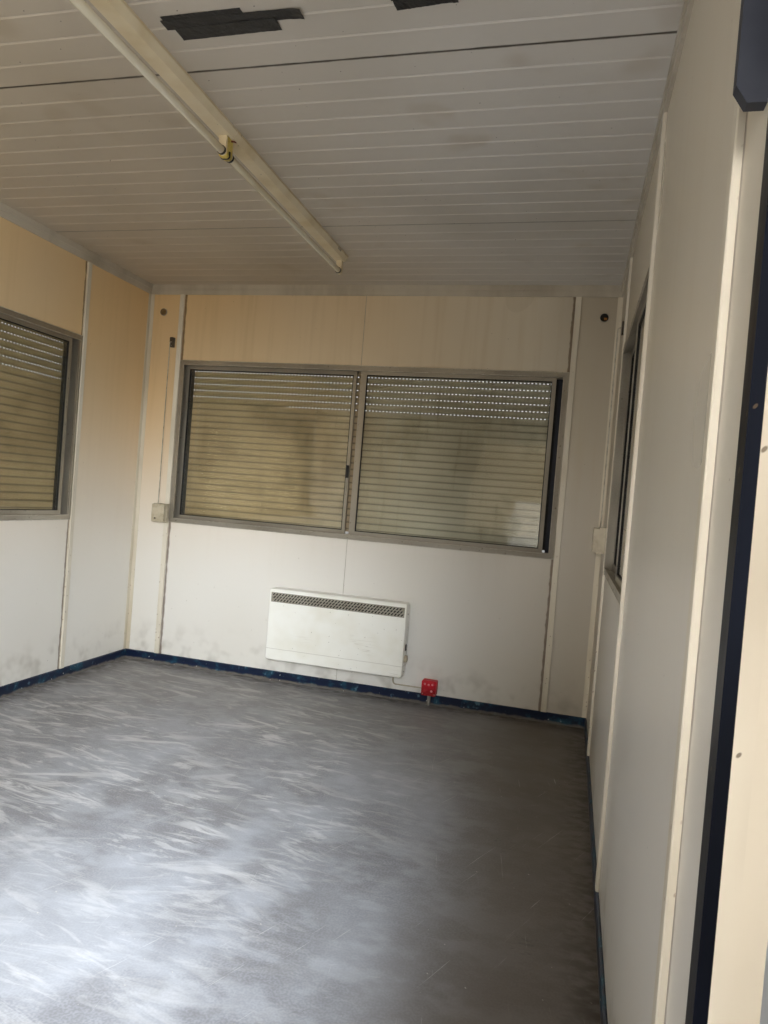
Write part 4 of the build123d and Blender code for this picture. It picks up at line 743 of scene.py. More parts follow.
ivory = moulded_finish("ivory_plastic", paint(196, 186, 164), paint(166, 154, 130), 0.38)
black_plastic = moulded_finish("black_plastic", paint(24, 24, 25), paint(44, 43, 42), 0.42)
anthracite = moulded_finish("anthracite_trunking", paint(40, 43, 52), paint(54, 57, 66), 0.5, patch=0.12)
grey_plastic = moulded_finish("grey_conduit", paint(150, 148, 142), paint(122, 118, 110), 0.45)
light_housing = moulded_finish("aged_light_housing", paint(242, 230, 202), paint(222, 204, 166), 0.35, patch=0.2)
cord_weave = moulded_finish("winder_cord_weave", paint(196, 190, 176), paint(150, 142, 126), 0.7, patch=0.03)
finish_nodes(ivory, "shutter_winders", "heater_lead", "heater_knob")
finish_nodes(moulded_finish("brown_cord_guides", paint(70, 62, 54), paint(96, 86, 74), 0.45), "cord_guides")
finish_nodes(black_plastic, "window_latches", "door_handles")
finish_nodes(anthracite, "wall_trunking", "shutter_guides")
finish_nodes(grey_plastic, "socket_conduit", "wall_vents")
finish_nodes(light_housing, "light_trays", "light_holders")
finish_nodes(cord_weave, "winder_cords")
finish_nodes(moulded_finish("shutter_box_cream", paint(214, 208, 194), paint(184, 176, 158), 0.4, patch=0.4),
             "shutter_boxes")
print("small fittings finished")

# %% [markdown]
# The heater's case is enamelled steel, brighter and cooler than the walls, with faint horizontal
# rub marks and one long crease above its lower edge. Its grille is greyer, partly from dust that warm
# air has drawn through it and partly as painted shade of its slots. The socket is red plastic with
# pink blotches, its lower half painted darker as shade under the lid.

# %% Finish of the heater, socket and tubes
enamel, tree, shader, along = start_finish("heater_enamel", 0.3)
rubs = use_group(tree, scuffs, Stretch=(0.6, 1, 9), Size=0.16, Width=0.03, Share=0.6)
warm = use_group(tree, stains, Size=0.25, From=0.4, To=0.75)
colour = blend_colours(tree, warm, paint(250, 250, 243), paint(242, 240, 228))
colour = lay(tree, colour, paint(168, 160, 140), rubs, 0.35)
chips = use_group(tree, specks, Spacing=0.035, Radius=0.07, Share=0.22)
colour = lay(tree, colour, paint(92, 70, 44), chips, 0.8)
crease = use_group(tree, dirt_line, Across=along[2], Middle=floor_level + 0.208, Width=0.0012,
                   Softness=0.0015, Ragged=0.004)
colour = lay(tree, colour, paint(150, 144, 128), crease, 0.4)
add_surface(tree, shader, colour, (rubs, 0.25, 0.28), use_group(tree, ripple, Size=0.01), 0.0003, 0.35)
finish_nodes(enamel, "heater_case")
# Partly painted shade: the grille's enamel is darker, which also stands for the shade in its slots.
finish_nodes(moulded_finish("dusty_and_shaded_grille_enamel", paint(164, 161, 149), paint(136, 129, 113), 0.34, patch=0.08),
             "heater_grille")
finish_nodes(zinc_finish("heater_bracket_zinc", paint(170, 172, 172), paint(140, 142, 144), 0.01, 0.8, 0.4),
             "heater_brackets")

red_plastic, tree, shader, along = start_finish("red_plastic_shaded_below", 0.4)
# Painted shade: the socket's lower half, under the lid, gets a darker red.
upper = soft_step(tree, along[2], floor_level + 0.075, floor_level + 0.125)
blotch = use_group(tree, stains, Size=0.03, From=0.45, To=0.7)
colour = blend_colours(tree, upper, paint(150, 14, 26), paint(206, 26, 48))
colour = lay(tree, colour, paint(226, 92, 98), blotch, 0.35)
grit = use_group(tree, specks, Spacing=0.012, Radius=0.2, Share=0.3)
colour = lay(tree, colour, paint(60, 16, 18), grit, 0.7)
add_surface(tree, shader, colour, (blotch, 0.25, 0.35), blotch, 0.0004, 0.4)
finish_nodes(red_plastic, "red_socket")

tube_glass, tree, shader, along = start_finish("fluorescent_tube_glass", 0.16)
tube_age = use_group(tree, stains, Stretch=(1, 0.3, 1), Size=0.12, From=0.4, To=0.75)
colour = blend_colours(tree, tube_age, paint(236, 229, 208), paint(214, 200, 166))
feed(tree, shader.inputs["Base Color"], colour)
feed(tree, shader.inputs["Roughness"], maths(tree, "MULTIPLY_ADD", tube_age, 0.14, 0.14))
shader.inputs["Coat Weight"].default_value = 0.4
finish_nodes(tube_glass, "light_tubes")
print("heater, socket and tubes finished")

# %% [markdown]
# ## Modelling helpers
# New pieces are modelled as by hand: a block is added between two corners, some of its faces are
# picked by their place or direction, and operators shape them. Because a block's place goes into
# its mesh at once, a picked point reads the cabin's own coordinates.

# %% Helpers for modelling
def only(piece):
    """Selects one piece alone, as a click on it does."""
    bpy.ops.object.select_all(action="DESELECT")
    piece.select_set(True)
    bpy.context.view_layer.objects.active = piece


def add_block(name, low, high):
    """A block between two corners, from which a piece is shaped."""
    bpy.ops.object.select_all(action="DESELECT")
    middle = [(a + b) / 2 for a, b in zip(low, high)]
    size = [b - a for a, b in zip(low, high)]
    bpy.ops.mesh.primitive_cube_add(size=1, location=middle, scale=size)
    piece = bpy.context.object
    piece.name = name
    piece.data.name = name
    bpy.ops.object.transform_apply(location=True, rotation=True, scale=True)
    return piece


def add_rod(name, middle, radius, length, axis, sides=24):
    """A round bar along X, Y or Z, from which a piece is shaped."""
    bpy.ops.object.select_all(action="DESELECT")
    turn = {"X": (0, math.pi / 2, 0), "Y": (math.pi / 2, 0, 0), "Z": (0, 0, 0)}[axis]
    bpy.ops.mesh.primitive_cylinder_add(vertices=sides, radius=radius, depth=length, location=middle, rotation=turn)
    piece = bpy.context.object
    piece.name = name
    piece.data.name = name
    bpy.ops.object.transform_apply(location=True, rotation=True, scale=True)
    return piece


def pick(piece, kind, wanted):
    """Edit mode, with only the wanted faces or edges selected. wanted gets a middle and a direction."""
    only(piece)
    bpy.ops.object.mode_set(mode="EDIT")
    bpy.ops.mesh.select_mode(type=kind)
    bpy.ops.mesh.select_all(action="DESELECT")
    shape = bmesh.from_edit_mesh(piece.data)
    if kind == "FACE":
        for face in shape.faces:
            face.select_set(bool(wanted(face.calc_center_median(), face.normal)))
    else:
        for edge in shape.edges:
            start, end = edge.verts[0].co, edge.verts[1].co
            edge.select_set(bool(wanted((start + end) / 2, (end - start).normalized())))
    bmesh.update_edit_mesh(piece.data)


def towards(side):
    """A test for the faces that look one way, such as -Y, or with a bare letter both ways."""
    axis = "XYZ".index(side[-1])
    if len(side) == 1:
        return lambda middle, facing: abs(facing[axis]) > 0.9
    return lambda middle, facing: facing[axis] * (-1 if side[0] == "-" else 1) > 0.9


def leave_edit():
    """Back to object mode."""
    bpy.ops.object.mode_set(mode="OBJECT")


def inset_faces(piece, wanted, *steps):
    """Insets the wanted faces, once for each (thickness, depth)."""
    pick(piece, "FACE", wanted)
    for thickness, depth in steps:
        bpy.ops.mesh.inset(thickness=thickness, depth=depth)
    leave_edit()


def bevel_picked(piece, wanted, offset, segments):
    """Rounds the wanted edges, as far as the offset says."""
    pick(piece, "EDGE", wanted)
    bpy.ops.mesh.bevel(offset=offset, segments=segments)
    leave_edit()


def use_modifier(piece, kind, **settings):
    """Adds a modifier, sets it and applies it."""
    only(piece)
    modifier = piece.modifiers.new(kind.lower(), kind)
    for setting, value in settings.items():
        setattr(modifier, setting, value)
    bpy.ops.object.modifier_apply(modifier=modifier.name)


def repeat(piece, count, step):
    """Copies a piece along a step, all in one mesh."""
    use_modifier(piece, "ARRAY", count=count, use_relative_offset=False, use_constant_offset=True,
                 constant_offset_displace=step)


def bevel_edges(piece, width, segments=2):
    """Rounds every sharp edge of a piece a little."""
    use_modifier(piece, "BEVEL", width=width, segments=segments, limit_method="ANGLE", angle_limit=math.radians(40))


def join_pieces(name, pieces):
    """Joins pieces into one, under a new name."""
    bpy.ops.object.select_all(action="DESELECT")
    for piece in pieces:
        piece.select_set(True)
    bpy.context.view_layer.objects.active = pieces[0]
    if len(pieces) > 1:
        bpy.ops.object.join()
    joined = bpy.context.object
    joined.name = name
    joined.data.name = name
    return joined


def put_in_place(piece, turn, move):
    """Turns a piece about the upright axis, moves it, and puts its place into its mesh."""
    only(piece)
    piece.rotation_euler = (0, 0, turn)
    piece.location = move
    bpy.ops.object.transform_apply(location=True, rotation=True, scale=True)


def make_smooth(piece, angle=35):
    """Smooth shading, except over sharp edges, with the faces pointing outwards."""
    only(piece)
    bpy.ops.object.mode_set(mode="EDIT")
    bpy.ops.mesh.select_all(action="SELECT")
    bpy.ops.mesh.remove_doubles(threshold=0.00001)
    bpy.ops.mesh.normals_make_consistent(inside=False)
    leave_edit()
    bpy.ops.object.shade_smooth_by_angle(angle=math.radians(angle))
    return piece


def hand_over(piece, material, body, slot, *stands_for):
    """The last step of a piece: its finish, the body it rides on, and what it stands for. The slot is not used."""
    piece.data.materials.clear()
    piece.data.materials.append(material)
    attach(piece, body)
    if stands_for:
        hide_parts(*stands_for)
    print(piece.name, "faces:", len(piece.data.polygons))


# %% [markdown]
# ## Roller shutters with light slots
# A roller shutter hangs from its roll. Each slat hooks into the next by a thin web with a row of
# slots. Where the slats' weight has closed the web, the slots are hidden, but the top rows stay
# pulled apart and let points of daylight in. The CAD curtain is one closed extrusion, so here each
# curtain is built again: bulged slats from a grid, webs, and bridges with real holes between them.

# %% One roller curtain
slat_pitch = 0.038
web_height = 0.0062
bar_height = 0.052
slat_height = slat_pitch - web_height
slot_pitch = 0.0205
bridge_width = 0.0110
curtain_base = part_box("shutter_curtains")[0].z
curtain_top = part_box("shutter_curtains")[1].z
first_web = curtain_base + bar_height
slat_rows = int((curtain_top - first_web) / slat_pitch)


def bulged_slat(name, width):
    """One slat: an upright grid whose middle rows are pushed outwards, then given its thickness."""
    middle_height = first_web + web_height + slat_height / 2
    bpy.ops.object.select_all(action="DESELECT")
    bpy.ops.mesh.primitive_grid_add(x_subdivisions=1, y_subdivisions=6, size=1,
                                    location=(0, 0, middle_height), rotation=(math.pi / 2, 0, 0))
    slat = bpy.context.object
    slat.name = name
    slat.scale = (width, slat_height, 1)
    bpy.ops.object.transform_apply(location=True, rotation=True, scale=True)
    for reach, push in ((0.013, 0.0020), (0.008, 0.0012)):
        pick(slat, "EDGE", lambda middle, way: abs(way.x) > 0.9 and abs(middle.z - middle_height) < reach)
        bpy.ops.transform.translate(value=(0, push, 0))
        leave_edit()
    use_modifier(slat, "SOLIDIFY", thickness=0.004, offset=0)
    return slat


def roller_curtain(name, width, lit_rows, shut_parts):
    """A curtain in its own frame: X along the wall, Y outwards, Z up. The top rows have open slots."""
    slat = bulged_slat(name + "_slat", width)
    repeat(slat, slat_rows, (0, 0, slat_pitch))
    pieces = [slat]
    web = add_block(name + "_web", (-width / 2, -0.0012, first_web - 0.002),
                    (width / 2, 0.0012, first_web + web_height + 0.002))
    inset_faces(web, towards("Y"), (0.0012, -0.0003))
    repeat(web, slat_rows - lit_rows, (0, 0, slat_pitch))
    pieces.append(web)
    slots_across = int(width / slot_pitch)
    first_bridge = -slots_across * slot_pitch / 2
    for row in range(slat_rows - lit_rows, slat_rows):
        low = first_web + row * slat_pitch
        bridge = add_block(name + "_bridge", (first_bridge - bridge_width / 2, -0.0012, low - 0.002),
                           (first_bridge + bridge_width / 2, 0.0012, low + web_height + 0.002))
        repeat(bridge, slots_across + 1, (slot_pitch, 0, 0))
        pieces.append(bridge)
    lowest_lit = first_web + (slat_rows - lit_rows) * slat_pitch
    for start, end in shut_parts:
        part = add_block(name + "_shut_part", (start, -0.0010, lowest_lit - 0.001),
                         (end, 0.0010, lowest_lit + web_height + 0.001))
        pieces.append(part)
    top_slat = add_block(name + "_top", (-width / 2, -0.002, first_web + slat_rows * slat_pitch - 0.002),
                         (width / 2, 0.002, curtain_top))
    bar = add_block(name + "_bar", (-width / 2, -0.0065, curtain_base), (width / 2, 0.0065, first_web))
    inset_faces(bar, towards("Y"), (0.008, -0.002))
    bevel_edges(bar, 0.0015)
    return join_pieces(name, pieces + [top_slat, bar])


print("curtain from", round(curtain_base, 3), "to", round(curtain_top, 3), "rows", slat_rows)

# %% [markdown]
# The slats are lacquered aluminium in beige. They are painted warmer on the left, as painted warm
# light, and greyer on the right, and their colour darkens towards every web as painted shade. The
# top of the curtains is tinted green, partly by damp and partly as painted light grazing the top rows.

# %% Finish of the slats
slat_paint, tree, shader, along = start_finish("aged_beige_slats", 0.45)
aged = use_group(tree, stains, Stretch=(1, 1, 1.6), Size=0.5, From=0.35, To=0.75, Detail=2.0)
# Painted warm light: the slats on the left get a warmer colour.
slats_in_warm_light = blend_colours(tree, aged, paint(160, 137, 104), paint(136, 114, 84))
grey_slats = blend_colours(tree, aged, paint(186, 176, 156), paint(160, 149, 128))
colour = blend_colours(tree, soft_step(tree, along[0], -0.4, 0.6), slats_in_warm_light, grey_slats)
# Partly painted light: the green tint at the top also stands for light grazing the top rows.
green_top_and_grazing_light = soft_step(tree, along[2], 1.68, 1.86)
colour = lay(tree, colour, paint(122, 116, 82), green_top_and_grazing_light, 0.35)
in_slat = maths(tree, "PINGPONG", maths(tree, "SUBTRACT", along[2], first_web + web_height / 2), slat_pitch / 2)
# Painted shade: each slat darkens towards the webs between slats.
web_painted_shade = soft_step(tree, in_slat, 0.007, 0.002)
colour = lay(tree, colour, paint(74, 64, 48), web_painted_shade, 0.6)
runs = use_group(tree, stains, Stretch=(5, 5, 0.5), Size=0.2, From=0.55, To=0.8)
colour = lay(tree, colour, paint(112, 100, 78), runs, 0.4)
grit = use_group(tree, specks, Spacing=0.02, Radius=0.1, Share=0.2)
colour = lay(tree, colour, paint(72, 62, 48), grit, 0.6)
add_surface(tree, shader, colour, (aged, 0.15, 0.42), use_group(tree, ripple, Size=0.01), 0.0003, 0.4)
print("slat finish ready")

# %% [markdown]
# Three curtains are made and put in place: the wide one in the end wall and one in each side wall.
# The end wall's lowest lit row is shut on its left half, as in the picture. One joined piece stands
# for the CAD node of the three curtains.

# %% Three curtains in their windows
wide, narrow = 2.262, 1.102
end_curtain_room_face, side_curtain_middle = 2.9605, 1.447
left_window_middle, right_window_middle = 1.16, 1.74
end_curtain_middle = (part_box("shutter_curtains")[1].y + end_curtain_room_face) / 2
end_curtain = roller_curtain("end_curtain", wide, 6, [(-wide / 2, -0.46)])
put_in_place(end_curtain, 0, (0, end_curtain_middle, 0))
left_curtain = roller_curtain("left_curtain", wide, 7, [(-wide / 2, -0.9), (0.2, wide / 2)])
put_in_place(left_curtain, math.pi / 2, (-side_curtain_middle, left_window_middle, 0))
right_curtain = roller_curtain("right_curtain", narrow, 6, [(-narrow / 2, -0.1)])
put_in_place(right_curtain, -math.pi / 2, (side_curtain_middle, right_window_middle, 0))
hand_over(make_smooth(join_pieces("slatted_shutter_curtains", [end_curtain, left_curtain, right_curtain])),
          slat_paint, "cabin", "shutter_slats", "shutter_curtains")

# %% [markdown]
# Some CAD nodes hold several solids, such as the six window panes. To place a seal round each pane,
# this helper walks over a node's mesh, groups the points that hang together, and gives one box for
# each solid. It only reads, because a CAD mesh is never changed.

# %% Boxes of a node's solids
def solid_boxes(node):
    """The lowest and highest corner of every solid in a CAD node, in a steady order."""
    shape = bmesh.new()
    shape.from_mesh(cabin_nodes[node].data)
    bmesh.ops.remove_doubles(shape, verts=shape.verts, dist=0.000001)
    waiting = set(shape.verts)
    boxes = []
    while waiting:
        reached = [waiting.pop()]
        low, high = reached[0].co.copy(), reached[0].co.copy()
        while reached:
            point = reached.pop()
            low = Vector(map(min, low, point.co))
            high = Vector(map(max, high, point.co))
            for edge in point.link_edges:
                other = edge.other_vert(point)
                if other in waiting:
                    waiting.remove(other)
                    reached.append(other)
        boxes.append((low, high))
    shape.free()
    return sorted(boxes, key=lambda box: [round(v, 3) for v in (*box[0], *box[1])])


print("panes:", len(solid_boxes("window_glass")))

# %% [markdown]
# A black rubber seal holds every pane in its sash. It starts as a block as large as the pane, its
# two broad faces are inset by the seal's width, and bridging those two faces cuts the hole. The
# same steps make the brush seal between frame and sash, so they are one function.

# %% Window seals
def ring(name, low, high, through, width):
    """A rectangular ring: a block with a hole along one axis that leaves an even width all round."""
    piece = add_block(name, low, high)
    pick(piece, "FACE", towards(through))
    bpy.ops.mesh.inset(thickness=width)
    bpy.ops.mesh.bridge_edge_loops()
    leave_edit()
    return piece


rubber, tree, shader, along = start_finish("black_rubber", 0.6)
chalk = use_group(tree, stains, Size=0.05, From=0.45, To=0.8)
add_surface(tree, shader, blend_colours(tree, chalk, paint(22, 22, 23), paint(58, 56, 53)), (chalk, 0.2, 0.5),
            use_group(tree, ripple, Size=0.002), 0.0002, 0.4)

seals = []
for low, high in solid_boxes("window_glass"):
    through = "Y" if high.y - low.y < 0.01 else "X"
    room_side = -1 if through == "Y" else -math.copysign(1, low.x)
    axis = "XYZ".index(through)
    for side in (-1, 1):
        seal_low, seal_high = low.copy(), high.copy()
        seal_depth = 0.0045 if side * room_side > 0 else 0.003
        if side > 0:
            seal_low[axis], seal_high[axis] = high[axis], high[axis] + seal_depth
        else:
            seal_low[axis], seal_high[axis] = low[axis] - seal_depth, low[axis]
        seal = ring("pane_seal", seal_low, seal_high, through, 0.0045)
        bevel_edges(seal, 0.0008, 1)
        seals.append(seal)
hand_over(join_pieces("window_pane_seals", seals), rubber, "cabin", "black_plastic")

# %% [markdown]
# The wall panels meet at the middle of the end wall with a gap of 3 mm, and so do the ceiling
# panels. A tongue lies in each gap and keeps the light out, grey in the wall and dark above. Each
# is a narrow block whose room face is inset and pushed in, which leaves a fine shadow line.

# %% Tongues in the panel gaps
def gap_tongue(name, low, high, facing_axis, facing_sign):
    """A narrow filler whose visible face is set back in its middle."""
    tongue = add_block(name, low, high)
    inset_faces(tongue, lambda middle, facing: facing[facing_axis] * facing_sign > 0.9, (0.0005, -0.0015))
    return tongue


wall_tongues = [
    gap_tongue("tongue", (-0.0015, end_face + 0.0008, low_z), (0.0015, end_face + 0.048, high_z), 1, -1)
    for low_z, high_z in ((floor_level, 1.012), (1.998, ceiling_level - 0.004))]
grey_joint = moulded_finish("grey_joint_filler", paint(188, 182, 168), paint(156, 148, 132), 0.7, patch=0.1)
hand_over(join_pieces("wall_gap_tongues", wall_tongues), grey_joint, "cabin", "trim")
ceiling_tongues = [
    gap_tongue("tongue", (-1.38, joint - 0.0015, ceiling_level + 0.0015),
               (1.38, joint + 0.0015, ceiling_level + 0.036), 2, -1)
    for joint in ceiling_joints]
dark_joint = moulded_finish("dark_joint_filler", paint(66, 60, 50), paint(92, 84, 70), 0.7, patch=0.1)
hand_over(join_pieces("ceiling_gap_tongues", ceiling_tongues), dark_joint, "cabin", "trim")

# %% [markdown]
# ## Tape on the ceiling
# Black tape closes old openings in the ceiling. It was put on in overlapping lengths, so the patch
# has stepped ends. Each length is a fine grid, laid just under the ceiling, its points are nudged
# at random so that it looks pulled by hand, and Solidify gives it its thickness. The lifted end of
# one length hangs down a few millimetres.

# %% Tape patches
def tape_length(name, left, right, near, far, layer, turn=0.0, lift=0.0):
    """One length of tape under the ceiling. lift is how far its right end has come loose."""
    bpy.ops.object.select_all(action="DESELECT")
    height = ceiling_level - 0.0009 - layer * 0.0007
    bpy.ops.mesh.primitive_grid_add(x_subdivisions=28, y_subdivisions=4, size=1,
                                    location=((left + right) / 2, (near + far) / 2, height))
    tape = bpy.context.object
    tape.name = name
    tape.scale = (right - left, far - near, 1)
    tape.rotation_euler = (0, 0, math.radians(turn))
    bpy.ops.object.transform_apply(location=True, rotation=True, scale=True)
    only(tape)
    bpy.ops.object.mode_set(mode="EDIT")
    bpy.ops.mesh.select_all(action="SELECT")
    bpy.ops.transform.vertex_random(offset=0.0008, seed=layer + 3)
    leave_edit()
    for point in tape.data.vertices:
        loose = max(0.0, (point.co.x - (right - 0.035)) / 0.035)
        point.co.z = min(point.co.z, ceiling_level - 0.0006) - lift * loose * loose
    use_modifier(tape, "SOLIDIFY", thickness=0.0004, offset=-1)
    return tape


tape_finish, tree, shader, along = start_finish("black_cloth_tape", 0.5)
worn = use_group(tree, stains, Size=0.05, From=0.4, To=0.75)
add_surface(tree, shader, blend_colours(tree, worn, paint(24, 23, 24), paint(48, 46, 44)), (worn, 0.25, 0.4),
            use_group(tree, ripple, Size=0.006), 0.0008, 0.6)
tapes = [
    tape_length("tape", 0.096, 0.321, 0.658, 0.700, 0, -0.5),
    tape_length("tape", 0.087, 0.472, 0.674, 0.712, 1, 0.6, lift=0.004),
    tape_length("tape", 0.110, 0.396, 0.704, 0.751, 2, -0.8),
    tape_length("tape", 0.702, 0.905, 0.640, 0.690, 0, 1.2),
    tape_length("tape", 0.706, 0.860, 0.682, 0.716, 1, -4.0, lift=0.003),
    tape_length("tape", 0.690, 0.880, 0.596, 0.644, 2, 0.4),
]
hand_over(join_pieces("ceiling_tape_patches", tapes), tape_finish, "cabin", "black_plastic")

# %% [markdown]
# ## Inside the heater
# Behind the slanted slots of the grille one looks at the heater's dark inside. A back plate and a
# row of thin fins on a heating rod stand there, which is what makes the slots look deep. All three
# are near-black, a painted shade of the heater's inside.

# %% Heater fins
case_low, case_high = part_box("heater_case")
grille_low, grille_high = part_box("heater_grille")
back_plate = add_block("heater_back", (grille_low.x + 0.002, grille_low.y + 0.0150, grille_low.z + 0.001),
                       (grille_high.x - 0.002, grille_low.y + 0.0165, grille_high.z - 0.001))
inset_faces(back_plate, towards("-Y"), (0.004, 0.0006))
fin = add_block("heater_fin", (grille_low.x + 0.010, grille_low.y + 0.0062, grille_low.z + 0.012),
                (grille_low.x + 0.0108, grille_low.y + 0.0140, grille_high.z - 0.012))
repeat(fin, 60, (0.0128, 0, 0))
heating_rod = add_rod("heating_rod", (grille_low.x + 0.390, grille_low.y + 0.0105,
                                      (grille_low.z + grille_high.z) / 2),
                      0.0042, 0.772, "X", 16)
inset_faces(heating_rod, towards("X"), (0.0012, -0.0008))
# Painted shade: a near-black finish for the inside of the heater and of the open vent.
shade_black_metal = moulded_finish("shade_black_heater_metal", paint(14, 13, 12), paint(26, 23, 20), 0.7, patch=0.05)
hand_over(join_pieces("heater_fins", [back_plate, fin, heating_rod]), shade_black_metal, "cabin", "heater_grille")

# %% [markdown]
# On its right side the heater has a small switch above its knob, and the case is closed by four
# screws. A screw head is a short rod whose end face is inset and pushed in, which gives the recess
# of its drive. It is modelled once at the origin and copied to every place that has one, turned so
# that it faces the way it was driven from.

# %% Screw heads and the heater's switch
def screw_head(name, radius=0.004, rise=0.0022):
    """A pan head with a recess, looking along -Y from the origin."""
    head = add_rod(name, (0, -rise / 2, 0), radius, rise, "Y", 12)
    pick(head, "FACE", towards("-Y"))
    bpy.ops.transform.resize(value=(0.8, 1, 0.8))
    bpy.ops.mesh.inset(thickness=radius * 0.45)
    bpy.ops.mesh.inset(thickness=radius * 0.05, depth=-rise * 0.6)
    leave_edit()
    return head


def copies_at(pattern, name, places):
    """Copies of a piece with own meshes. places are (place, turn about Z)."""
    made = []
    for place, turn in places:
        copy = pattern.copy()
        copy.data = pattern.data.copy()
        bpy.context.scene.collection.objects.link(copy)
        put_in_place(copy, turn, place)
        made.append(copy)
    bpy.data.objects.remove(pattern)
    return join_pieces(name, made)


def put_screws(name, places, radius=0.004, rise=0.0022, body="cabin"):
    """Zinc pan heads at places, which are (place, turn about Z)."""
    screws = copies_at(screw_head(name, radius, rise), name, places)
    hand_over(screws, bright_zinc, body, "galvanised_steel")


switch_body = add_block("heater_switch", (case_high.x - 0.0005, 2.834, 0.438), (case_high.x + 0.0035, 2.852, 0.474))
pick(switch_body, "FACE", towards("+X"))
bpy.ops.mesh.inset(thickness=0.003)
bpy.ops.mesh.extrude_region_move(TRANSFORM_OT_translate={"value": (0.002, 0, 0)})
leave_edit()
bevel_edges(switch_body, 0.0006, 1)
hand_over(switch_body, black_plastic, "cabin", "black_plastic")
bright_zinc = zinc_finish("bright_zinc_screws", paint(186, 184, 176), paint(146, 142, 132), 0.004, 0.8, 0.35)
put_screws("heater_case_screws", [((side_x, 2.84, height), turn)
                                  for side_x, turn in ((case_high.x, math.pi / 2), (case_low.x, -math.pi / 2))
                                  for height in (0.640, 0.325)])

# %% [markdown]
# ## The red socket
# It is a surface socket with a sprung lid. The lid covers the upper half of the ring, its hinge is
# a thin bar, and the raised bumps on it have bleached to pink. A screw head sits in each lower
# corner, and the lower half lies in shade.

# %% Socket lid
socket_low, socket_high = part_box("red_socket")
socket_x = (socket_low.x + socket_high.x) / 2
lid = add_block("socket_lid", (socket_x - 0.030, socket_low.y - 0.0060, socket_low.z + 0.030),
                (socket_x + 0.030, socket_low.y + 0.0002, socket_high.z - 0.006))
bevel_picked(lid, lambda middle, way: abs(way.y) > 0.9, 0.010, 4)
inset_faces(lid, towards("-Y"), (0.004, 0.0012))
bevel_edges(lid, 0.0010, 2)
hinge_bar = add_rod("socket_hinge", (socket_x, socket_low.y + 0.0010, socket_high.z - 0.005), 0.0034, 0.056, "X",
                    16)
inset_faces(hinge_bar, towards("X"), (0.001, -0.0006))
hand_over(make_smooth(join_pieces("red_socket_lid", [lid, hinge_bar])), red_plastic, "cabin", "red_plastic")
bumps = []
for across, up in ((-0.021, -0.016), (0.0, -0.019), (0.021, -0.016), (0.017, -0.052)):
    bump = add_rod("socket_bump", (socket_x + across, socket_low.y - 0.0065, socket_high.z + up), 0.0072, 0.005,
                   "Y", 20)
    pick(bump, "FACE", towards("-Y"))
    bpy.ops.transform.resize(value=(0.7, 1, 0.7))
    bpy.ops.mesh.inset(thickness=0.0016, depth=-0.0012)
    leave_edit()
    bumps.append(bump)
hand_over(make_smooth(join_pieces("socket_bumps", bumps)),
          moulded_finish("bleached_pink", paint(232, 168, 172), paint(206, 96, 106), 0.4, patch=0.008),
          "cabin", "red_plastic")
put_screws("socket_screws", [((socket_x + side * 0.033, socket_low.y + 0.0052, socket_low.z + 0.009), 0)
                             for side in (-1, 1)], 0.0032)

# %% [markdown]
# ## Ends of the lamps
# Every fluorescent tube ends in a dark ring where its cap sits in the holder. The ring starts as a
# short rod round the tube, its two ends are inset and bridged, so that the tube passes through. At
# the joints of the trays a yellow holder takes both tubes. It is a block with a rounded underside,
# with a black clip round it and the stub of a brown wire beside it.

# %% Rings and holders of the tubes
tube_solids = solid_boxes("light_tubes")
tube_radius = (tube_solids[0][1].x - tube_solids[0][0].x) / 2
tube_height = (tube_solids[0][0].z + tube_solids[0][1].z) / 2


def sleeve(name, middle, radius, length, axis, wall):
    """A round ring: a short rod whose two ends are inset and bridged."""
    piece = add_rod(name, middle, radius, length, axis, 24)
    pick(piece, "FACE", towards(axis))
    bpy.ops.mesh.inset(thickness=wall)
    bpy.ops.mesh.bridge_edge_loops()
    leave_edit()
    return piece


rings = []
for low, high in tube_solids:
    for place in (low.y + 0.004, high.y - 0.004):
        rings.append(sleeve("tube_ring", (0, place, tube_height), tube_radius + 0.0022, 0.008, "Y", 0.0020))
hand_over(make_smooth(join_pieces("tube_end_rings", rings)), black_plastic, "cabin", "black_plastic")

yellow_plastic = moulded_finish("yellowed_holder_plastic", paint(224, 204, 112), paint(190, 164, 84), 0.4,
                                patch=0.02)
covers, clips = [], []
for joint in (1.213, 0.001, -1.211):
    cover = add_block("holder_cover", (-0.0155, joint - 0.017, tube_height - 0.0165),
                      (0.0155, joint + 0.017, ceiling_level - 0.0285))
    bevel_picked(cover, lambda middle, way: abs(way.y) > 0.9 and middle.z < tube_height, 0.009, 5)
    inset_faces(cover, towards("+X"), (0.004, -0.0012))
    bevel_edges(cover, 0.0010, 2)
    covers.append(cover)
    clip = add_block("holder_clip", (-0.0172, joint - 0.003, tube_height - 0.0182),
                     (0.0172, joint + 0.003, tube_height + 0.006))
    bevel_picked(clip, lambda middle, way: abs(way.y) > 0.9 and middle.z < tube_height, 0.010, 5)
    clips.append(clip)
hand_over(make_smooth(join_pieces("yellow_tube_holders", covers)), yellow_plastic, "cabin", "light_housing")
hand_over(make_smooth(join_pieces("tube_holder_clips", clips)), black_plastic, "cabin", "black_plastic")

# %% [markdown]
# The wire stub is an elbow: one face of a thin rod is extruded twice and turned a little each time,
# as a stiff wire bends. In the side of the farthest tray there is a patch of small vent holes.

